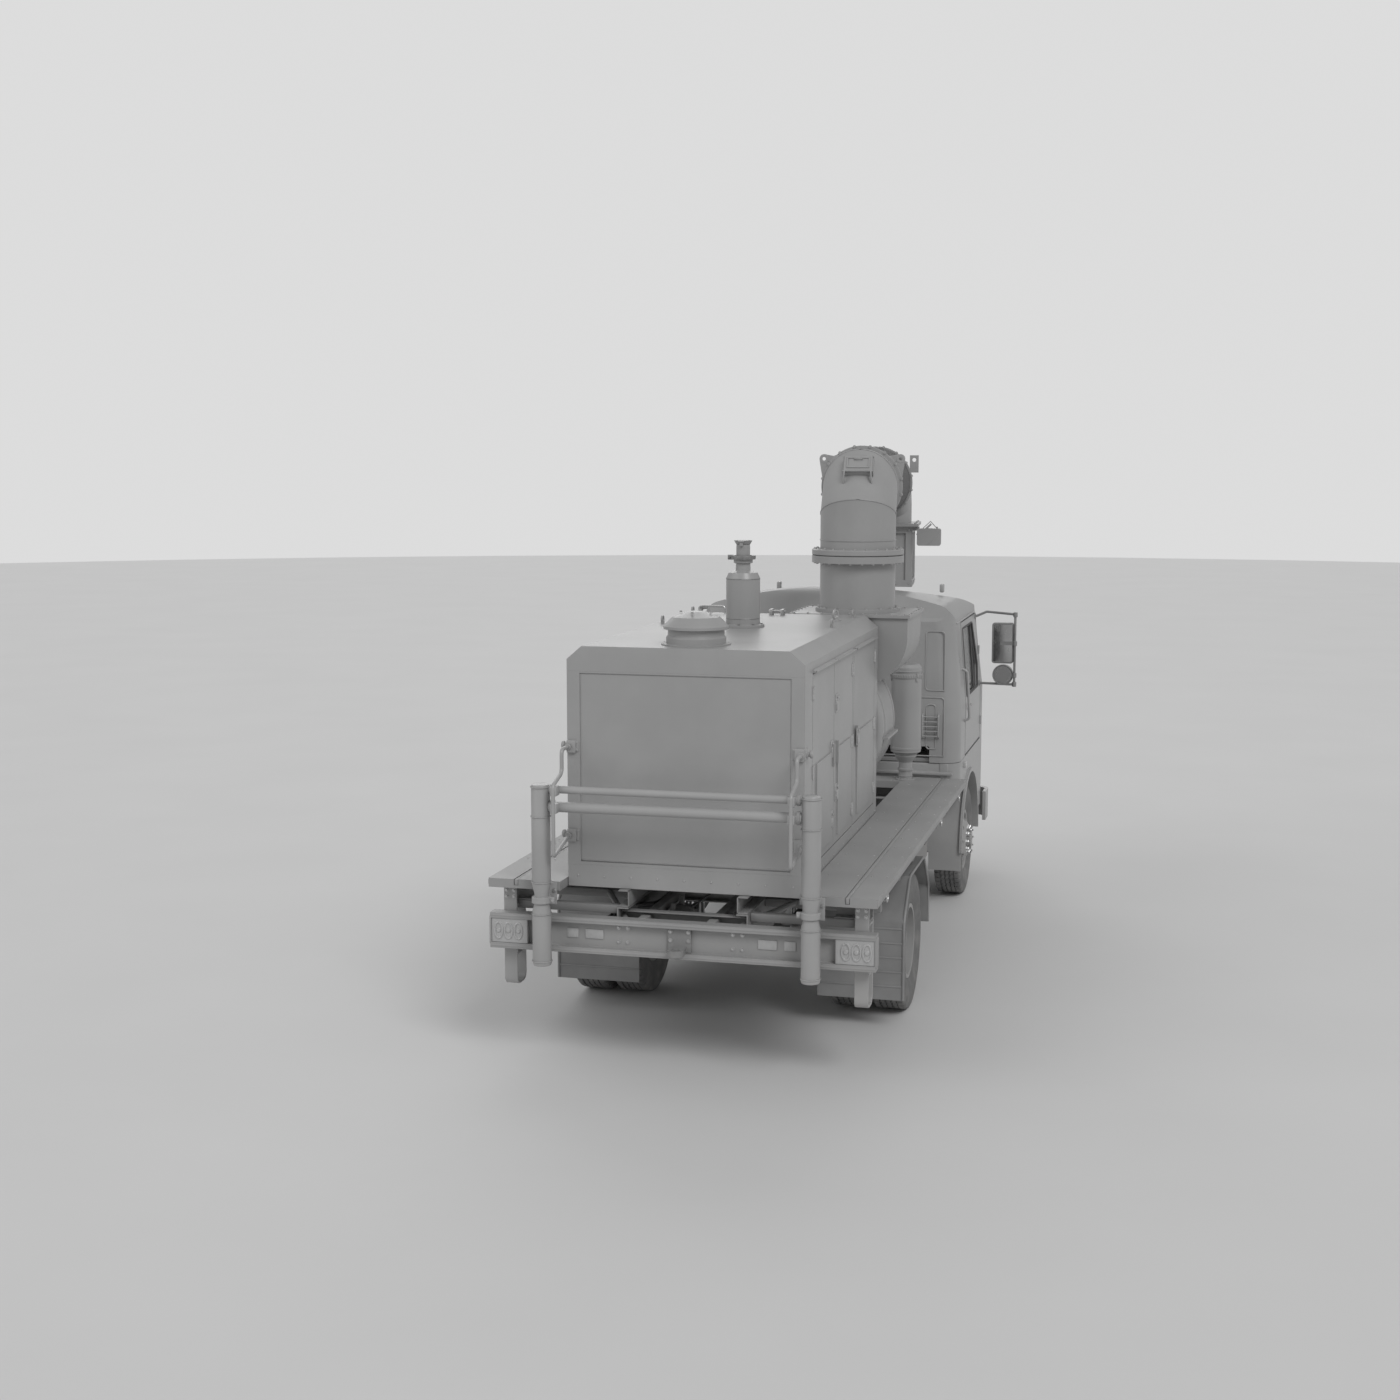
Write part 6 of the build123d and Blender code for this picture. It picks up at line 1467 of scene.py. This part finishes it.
BLADE_REACH, BLADE_PITCH = 0.32, 0.055
angle = np.linspace(-BLADE_REACH, BLADE_REACH, 5)
blade_r = np.linspace(0.070, 0.370, 6)[:, None]
across_y = 2.600 + BLADE_PITCH * angle[None, :] / BLADE_REACH * np.ones_like(blade_r)
blade = np.stack([blade_r * np.cos(angle), across_y,
                  blade_r * np.sin(angle)], axis=-1)
back_of = blade + (0, 0.004, 0)
blade = grid(np.concatenate([blade, back_of[::-1], blade[:1]]))
fan = join(copies(blade, [place(0, 0, FAN_AXIS_Z, a, "y") for a in np.arange(7) * 360 / 7]),
           copies(disc(0.080, 2.260, 2.640, 0.006, 28, "y"), [place(0, 0, FAN_AXIS_Z)]))
make("radiator_frame", join(tanks_end, side_plates, shroud), "chassis", body_paint)
make("radiator_core", join(core, fins), "chassis", dark_metal)
make("cooling_fan", fan, "chassis", black_plastic)
air_can = join(copies(lathe([(0, -0.27), (0.120, -0.27), (0.130, -0.255), (0.130, 0.20), (0.122, 0.215),
                             (0.126, 0.235), (0.100, 0.265), (0, 0.270)], 40, "y"),
                      [place(0.400, 1.080, 2.120)]),
               *[copies(lathe([(0.130, u), (0.137, u + 0.004), (0.137, u + 0.026), (0.130, u + 0.03)], 40,
                              "y"), [place(0.400, 1.080, 2.120)]) for u in (-0.15, 0.10)],
               slab((0.30, 0.90, 1.92), (0.50, 0.93, 2.02), 0.004),
               slab((0.30, 1.20, 1.92), (0.50, 1.23, 2.02), 0.004))
make("air_filter_can", air_can, "chassis", duct_paint)
box = join(slab((-0.600, 1.000, 1.640), (-0.440, 1.420, 2.080), 0.012, 2),
           slab((-0.612, 1.02, 1.66), (-0.596, 1.40, 2.06), 0.008),
           slab((-0.470, 1.02, 1.20), (-0.450, 1.08, 1.66), 0.003),
           slab((-0.470, 1.34, 1.20), (-0.450, 1.40, 1.66), 0.003))
battery = join(slab((0.430, 2.300, 1.190), (0.600, 2.580, 1.400), 0.010, 2),
               copies(disc(0.012, 1.398, 1.425, 0.002, 14), [place(0.47, 2.34), place(0.47, 2.54)]))
make("control_box", box, "chassis", body_paint)
make("start_battery", battery, "chassis", black_plastic)
HOSES = [
    # radius, bend, sides, steps of each bend, points
    (0.028, 0.10, 14, 8, [(0, 2.20, 1.85), (0.10, 2.40, 2.00), (0.20, 2.60, 2.20), (0.20, 2.70, 2.235)]),
    (0.028, 0.10, 14, 8, [(0.05, 2.22, 1.50), (0.20, 2.40, 1.36), (0.30, 2.66, 1.300)]),
    (0.045, 0.12, 18, 8, [(0.390, 1.33, 2.120), (0.36, 1.50, 2.10), (0.26, 1.62, 1.98), (0.255, 1.66, 1.90)]),
    (0.009, 0.08, 8, 6, [(-0.245, 1.62, 1.56), (-0.33, 1.50, 1.70), (-0.45, 1.42, 1.70)]),
    (0.014, 0.12, 10, 7, [(-0.05, 0.63, 1.60), (-0.30, 0.66, 1.50), (-0.55, 0.80, 1.30), (-0.58, 1.60, 1.22),
                          (-0.58, 2.70, 1.21)]),
]
hoses = join(*[tube(points, radius, bend, UP, sides, steps) for radius, bend, sides, steps, points in HOSES])
make("power_hoses", hoses, "chassis", hose_rubber)

# %% Stack top
funnel = lathe([(0.041, 0.560), (0.060, 0.598), (0.063, 0.5985), (0.064, 0.5995), (0.0415, 0.5620)], 32)
hinge = join(slab((-0.012, 0.046, 0.560), (0.012, 0.066, 0.598), 0.003),
             copies(disc(0.006, -0.020, 0.020, 0.001, 12), [facing(LEFT, 0, 0.066, 0.594)]))
make("stack_funnel", copies(join(funnel, hinge), [place(0, STACK_Y, CANOPY_TOP)]), "chassis", duct_paint)

# %% Deck seam strips and the rear panel's soft edge
seam_strips = both_sides(slab((1.053, -1.158, 1.166), (1.077, 3.373, 1.2025), 0.003))
make("deck_seam_strips", seam_strips, "chassis", deck_paint)
edge_path = [(-0.677, 3.216, 1.324), (0.677, 3.216, 1.324), (0.677, 3.216, 2.515), (-0.677, 3.216, 2.515),
             (-0.677, 3.216, 1.327)]
make("panel_edge_seal", tube(edge_path, 0.0045, 0.006, REAR, 8, 3), "chassis", body_paint)


# %% [markdown]
# ## Seats
# Each seat has a cushion, a back and a headrest. A pad starts as a crowned box: half its height is
# multiplied by the fourth root of (1 - u^6)(1 - v^6), the crown adds a part of (1 - u^2)(1 - v^2) on top,
# and its sides pull in between the corners. Cloth under pressure then fills it, and sewn channels are
# pressed in last.

# %% Pads filled by cloth
SEAT_X, SEAT_Y, SEAT_LOW = 0.620, -2.115, 1.311
MOST_SWELL, VOXEL, PRESSURE, LAST_FRAME = 0.012, 0.010, 4, 20


def pad_shell(width, depth, height, crown, pull=0.010):
    """A crowned pad about the origin, u and v from -1 to 1: a top and an underside that meet at the edge."""
    t = np.linspace(-1, 1, 25)
    v, u = np.meshgrid(t, t, indexing="ij")
    side_x = width / 2 - pull * (1 - v ** 2)
    side_y = depth / 2 - pull * (1 - u ** 2)
    soft = np.clip((1 - u ** 6) * (1 - v ** 6), 0, 1) ** 0.25
    x, y = u * side_x, v * side_y
    top = np.stack([x, y, height / 2 * soft + crown * (1 - u ** 2) * (1 - v ** 2)], axis=-1)
    low = np.stack([x, y, -height / 2 * soft], axis=-1)
    return join(grid(top), grid(low))


def channels(points, width, height, count):
    """Sewn channels: near each seam line the top sinks by depth times exp(-(distance / reach)^2)."""
    depth, reach = 0.007, 0.007
    seams = np.linspace(-0.28, 0.28, count) * width
    fall = sum(np.exp(-((points[:, 0] - x) / reach) ** 2) for x in seams)
    sewn = (points[:, 2] > height * 0.2).astype(float)
    return points - np.stack([0 * fall, 0 * fall, depth * fall * sewn], axis=-1)


def simulated(shell):
    """The shell filled by cloth under pressure, no point further than MOST_SWELL."""
    points, quads = shell
    mesh = bpy.data.meshes.new("pad_work")
    mesh.from_pydata(points.tolist(), [], quads.tolist())
    work = bpy.data.objects.new("pad_work", mesh)
    bpy.context.scene.collection.objects.link(work)
    remesh = work.modifiers.new("remesh", "REMESH")
    remesh.mode, remesh.voxel_size = "VOXEL", VOXEL
    start = bpy.data.meshes.new_from_object(work.evaluated_get(bpy.context.evaluated_depsgraph_get()))
    work.modifiers.clear()
    work.data = start
    before = np.empty(len(start.vertices) * 3)
    start.vertices.foreach_get("co", before)
    cloth = work.modifiers.new("cloth", "CLOTH")
    cloth.settings.use_pressure = True
    cloth.settings.uniform_pressure_force = PRESSURE
    cloth.settings.effector_weights.gravity = 0
    for frame_number in range(1, LAST_FRAME + 1):
        bpy.context.scene.frame_set(frame_number)
    done = work.evaluated_get(bpy.context.evaluated_depsgraph_get()).to_mesh()
    after = np.empty(len(done.vertices) * 3)
    done.vertices.foreach_get("co", after)
    before, after = before.reshape(-1, 3), after.reshape(-1, 3)
    move = after - before
    length = np.linalg.norm(move, axis=1, keepdims=True)
    after = before + move * np.minimum(1, MOST_SWELL / np.maximum(length, 1e-9))
    corners = np.empty(len(start.loops), dtype=np.int32)
    start.loops.foreach_get("vertex_index", corners)
    bpy.context.scene.frame_set(1)
    bpy.data.objects.remove(work)
    return after, corners.reshape(-1, 4)


def seat_pad(name, width, depth, height, crown, at, seams):
    """One pad simulated once and put in both seats, with its channels sewn in."""
    points, quads = simulated(pad_shell(width, depth, height, crown))
    points = channels(points, width, height, seams) if seams else points
    places = [place(sign * SEAT_X, 0, 0) @ at for sign in (-1, 1)]
    piece = make(name, copies((points, quads), places), "chassis", seat_cloth, 60)


SEAT_LEAN = place(0, SEAT_Y + 0.268, SEAT_LOW + 0.610) @ place(turn=79, about="x")
seat_pad("seat_cushions", 0.450, 0.460, 0.105, 0.012, place(0, SEAT_Y, SEAT_LOW + 0.262), 4)
seat_pad("seat_backs", 0.430, 0.560, 0.070, 0.010, SEAT_LEAN, 4)
seat_pad("headrests", 0.250, 0.110, 0.055, 0.006,
         place(0, SEAT_Y + 0.328, SEAT_LOW + 0.888) @ place(turn=81, about="x"), 0)

# %% Seat frames
foot = slab((-0.170, SEAT_Y - 0.170, SEAT_LOW + 0.001), (0.170, SEAT_Y + 0.170, SEAT_LOW + 0.030), 0.004)
column = slab((-0.120, SEAT_Y - 0.120, SEAT_LOW + 0.025), (0.120, SEAT_Y + 0.120, SEAT_LOW + 0.160), 0.020, 2)
pan = slab((-0.215, SEAT_Y - 0.215, SEAT_LOW + 0.155), (0.215, SEAT_Y + 0.215, SEAT_LOW + 0.200), 0.012, 2)
back_board = copies(slab((-0.200, -0.250, -0.052), (0.200, 0.230, -0.036), 0.006), [SEAT_LEAN])
headrest_rods = [tube([(x, SEAT_Y + 0.318, SEAT_LOW + 0.80), (x, SEAT_Y + 0.334, SEAT_LOW + 0.90)], 0.006,
                      sides=8) for x in (-0.06, 0.06)]
side_bars = [tube([(x, SEAT_Y + 0.190, SEAT_LOW + 0.17), (x, SEAT_Y + 0.262, SEAT_LOW + 0.40)], 0.014,
                  sides=10) for x in (-0.215, 0.215)]
adjuster = tube([(0.215, SEAT_Y - 0.10, SEAT_LOW + 0.18), (0.225, SEAT_Y - 0.20, SEAT_LOW + 0.19)], 0.008,
                sides=8)
pedestal = join(foot, column, pan, back_board, *headrest_rods, *side_bars, adjuster)
frames = copies(pedestal, [place(sign * SEAT_X, 0, 0) for sign in (-1, 1)])
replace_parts(make("seat_frames", frames, "chassis", black_plastic), "seats")

# %% Dashboard, pedals and gear lever
dials = join(*[copies(join(annulus(0.042, 0.034, 0, 0.010, 0.002, 28), disc(0.034, 0, 0.003, 0.001, 28)),
                      [facing((0, 0.85, 0.5), 0.600 + dx, -2.905, 1.668)]) for dx in (-0.10, 0.0, 0.10)])
vents = join(*[join(*[slab((x - 0.055, -2.899, z), (x + 0.055, -2.889, z + 0.005), 0.001)
                      for z in np.linspace(1.625, 1.665, 5)]) for x in (-0.80, -0.20, 0.20, 0.86)])
shelf = slab((-0.95, -2.960, 1.700), (0.95, -2.930, 1.712), 0.005)
lever = join(tube([(0.16, -2.60, 1.43), (0.16, -2.56, 1.60), (0.20, -2.50, 1.745)], 0.009, 0.05, sides=10),
             copies(lathe([(0, 0.035), (0.018, 0.030), (0.026, 0.014), (0.024, -0.006), (0.010, -0.022),
                           (0, -0.022)], 20), [place(0.20, -2.50, 1.760)]),
             copies(lathe([(0.060, 0), (0.050, 0.02), (0.040, 0.03), (0.030, 0.05), (0.012, 0.06), (0, 0.06)],
                          24), [place(0.16, -2.60, 1.425)]))
pedals = join(*[join(copies(slab((-0.035, -0.045, -0.006), (0.035, 0.045, 0.006), 0.004),
                            [place(x, -2.800, 1.475, 55, "x")]),
                     tube([(x, -2.805, 1.475), (x, -2.86, 1.56), (x, -2.93, 1.62)], 0.008, 0.04, (1, 0, 0),
                          8)) for x in (0.46, 0.60, 0.74)])
make("dash_fittings", join(dials, vents, shelf), "chassis", black_plastic)
make("lever_and_pedals", join(lever, pedals), "chassis", black_plastic)

# %% Cab back panels and ledge beam
def panel_frame(x0, x1, z0, z1, y, radius=0.006):
    """A raised rounded frame pressed into a flat wall."""
    ring = path_of([(x0, y, z0), (x1, y, z0), (x1, y, z1), (x0, y, z1), (x0, y, z0 + 0.001)], 0.035, 6)
    return sweep(ring, ring_profile(radius, 10), (0, 1, 0))


PRESSINGS = ((0.10, 1.02, 1.90, 2.40), (0.17, 0.95, 1.96, 2.34), (0.10, 1.02, 1.34, 1.84),
             (0.17, 0.95, 1.40, 1.78), (-1.02, -0.86, 1.90, 2.40), (-1.02, -0.10, 1.34, 1.84),
             (-0.95, -0.87, 1.40, 1.78))
pressed = join(*[panel_frame(*sides, CAB_BACK + 0.001) for sides in PRESSINGS])
make("cab_back_pressings", pressed, "chassis", body_paint)
ledge = join(slab((-1.060, CAB_BACK - 0.055, 1.060), (1.060, CAB_BACK - 0.005, 1.276), 0.010, 2),
             slab((-1.100, CAB_BACK - 0.030, 1.180), (1.100, CAB_BACK + 0.030, 1.205), 0.006))
make("cab_rear_beam", ledge, "chassis", body_paint)

# %% [markdown]
# ## The studio
# The photograph's camera was worked out from the truck's straight edges: a 50 mm lens on a 36 mm square
# frame, seven degrees down. The floor and sky are pale and plain. Three soft suns shine from behind on both
# sides and from ahead.


# %% Floor, suns and camera
def studio_floor():
    """A flat disc of floor. Its rings grow as a square, so the mesh is finest near the truck."""
    rings = np.linspace(0.0, 1.0, 14)[:, None] ** 2 * 60
    angle = np.arange(64)[None, :] * tau / 64
    points = np.stack(np.broadcast_arrays(rings * np.cos(angle), rings * np.sin(angle), 0.0 * rings), axis=-1)
    return grid(points, around=True)


floor_finish = Finish("floor_finish")
floor_cloud = floor_finish.noise(floor_finish.object_place(), 0.6, 4)
floor_finish.set(Base_Color=floor_finish.mix(floor_cloud, grey(0.60), grey(0.64)), Roughness=0.85)
floor_points, floor_quads = studio_floor()
floor_mesh = bpy.data.meshes.new("studio_floor")
floor_mesh.from_pydata(floor_points.tolist(), [], floor_quads.tolist())
floor_mesh.materials.append(floor_finish.material)
floor = bpy.data.objects.new("studio_floor", floor_mesh)
bpy.context.scene.collection.objects.link(floor)

world = bpy.data.worlds.new("studio")
bpy.context.scene.world = world
world.use_nodes = True
world_nodes, world_links = world.node_tree.nodes, world.node_tree.links
back = world_nodes["Background"]
back.inputs["Color"].default_value = (*grey(0.78), 1)
back.inputs["Strength"].default_value = 0.55
seen = world_nodes.new("ShaderNodeBackground")
seen.inputs["Color"].default_value = (*grey(0.72), 1)
rays, choice = world_nodes.new("ShaderNodeLightPath"), world_nodes.new("ShaderNodeMixShader")
world_links.new(rays.outputs["Is Camera Ray"], choice.inputs[0])
world_links.new(back.outputs[0], choice.inputs[1])
world_links.new(seen.outputs[0], choice.inputs[2])
world_links.new(choice.outputs[0], world_nodes["World Output"].inputs[0])

SUNS = [
    # name, place it shines from, strength, soft angle in degrees
    ("key", (-9.0, 10.0, 12.0), 1.15, 25),
    ("fill", (10.0, 8.0, 7.0), 0.45, 45),
    ("front", (4.0, -12.0, 8.0), 0.60, 45),
]
for sun_name, sun_place, strength, soft in SUNS:
    sun = bpy.data.objects.new(sun_name, bpy.data.lights.new(sun_name, "SUN"))
    sun.data.energy, sun.data.angle = strength, radians(soft)
    sun.location = sun_place
    sun.rotation_euler = (-sun.location).to_track_quat("-Z", "Y").to_euler()
    bpy.context.scene.collection.objects.link(sun)

camera = bpy.data.objects.new("camera", bpy.data.cameras.new("camera"))
camera.data.lens, camera.data.sensor_width, camera.data.sensor_height = 50.0, 36.0, 36.0
camera.data.sensor_fit = "HORIZONTAL"
camera.location = (-3.083, 14.802, 3.886)
camera.rotation_euler = (radians(90 - 7.227), 0.0, radians(194.439))
bpy.context.scene.collection.objects.link(camera)
bpy.context.scene.camera = camera
bpy.context.scene.view_settings.view_transform = "Standard"
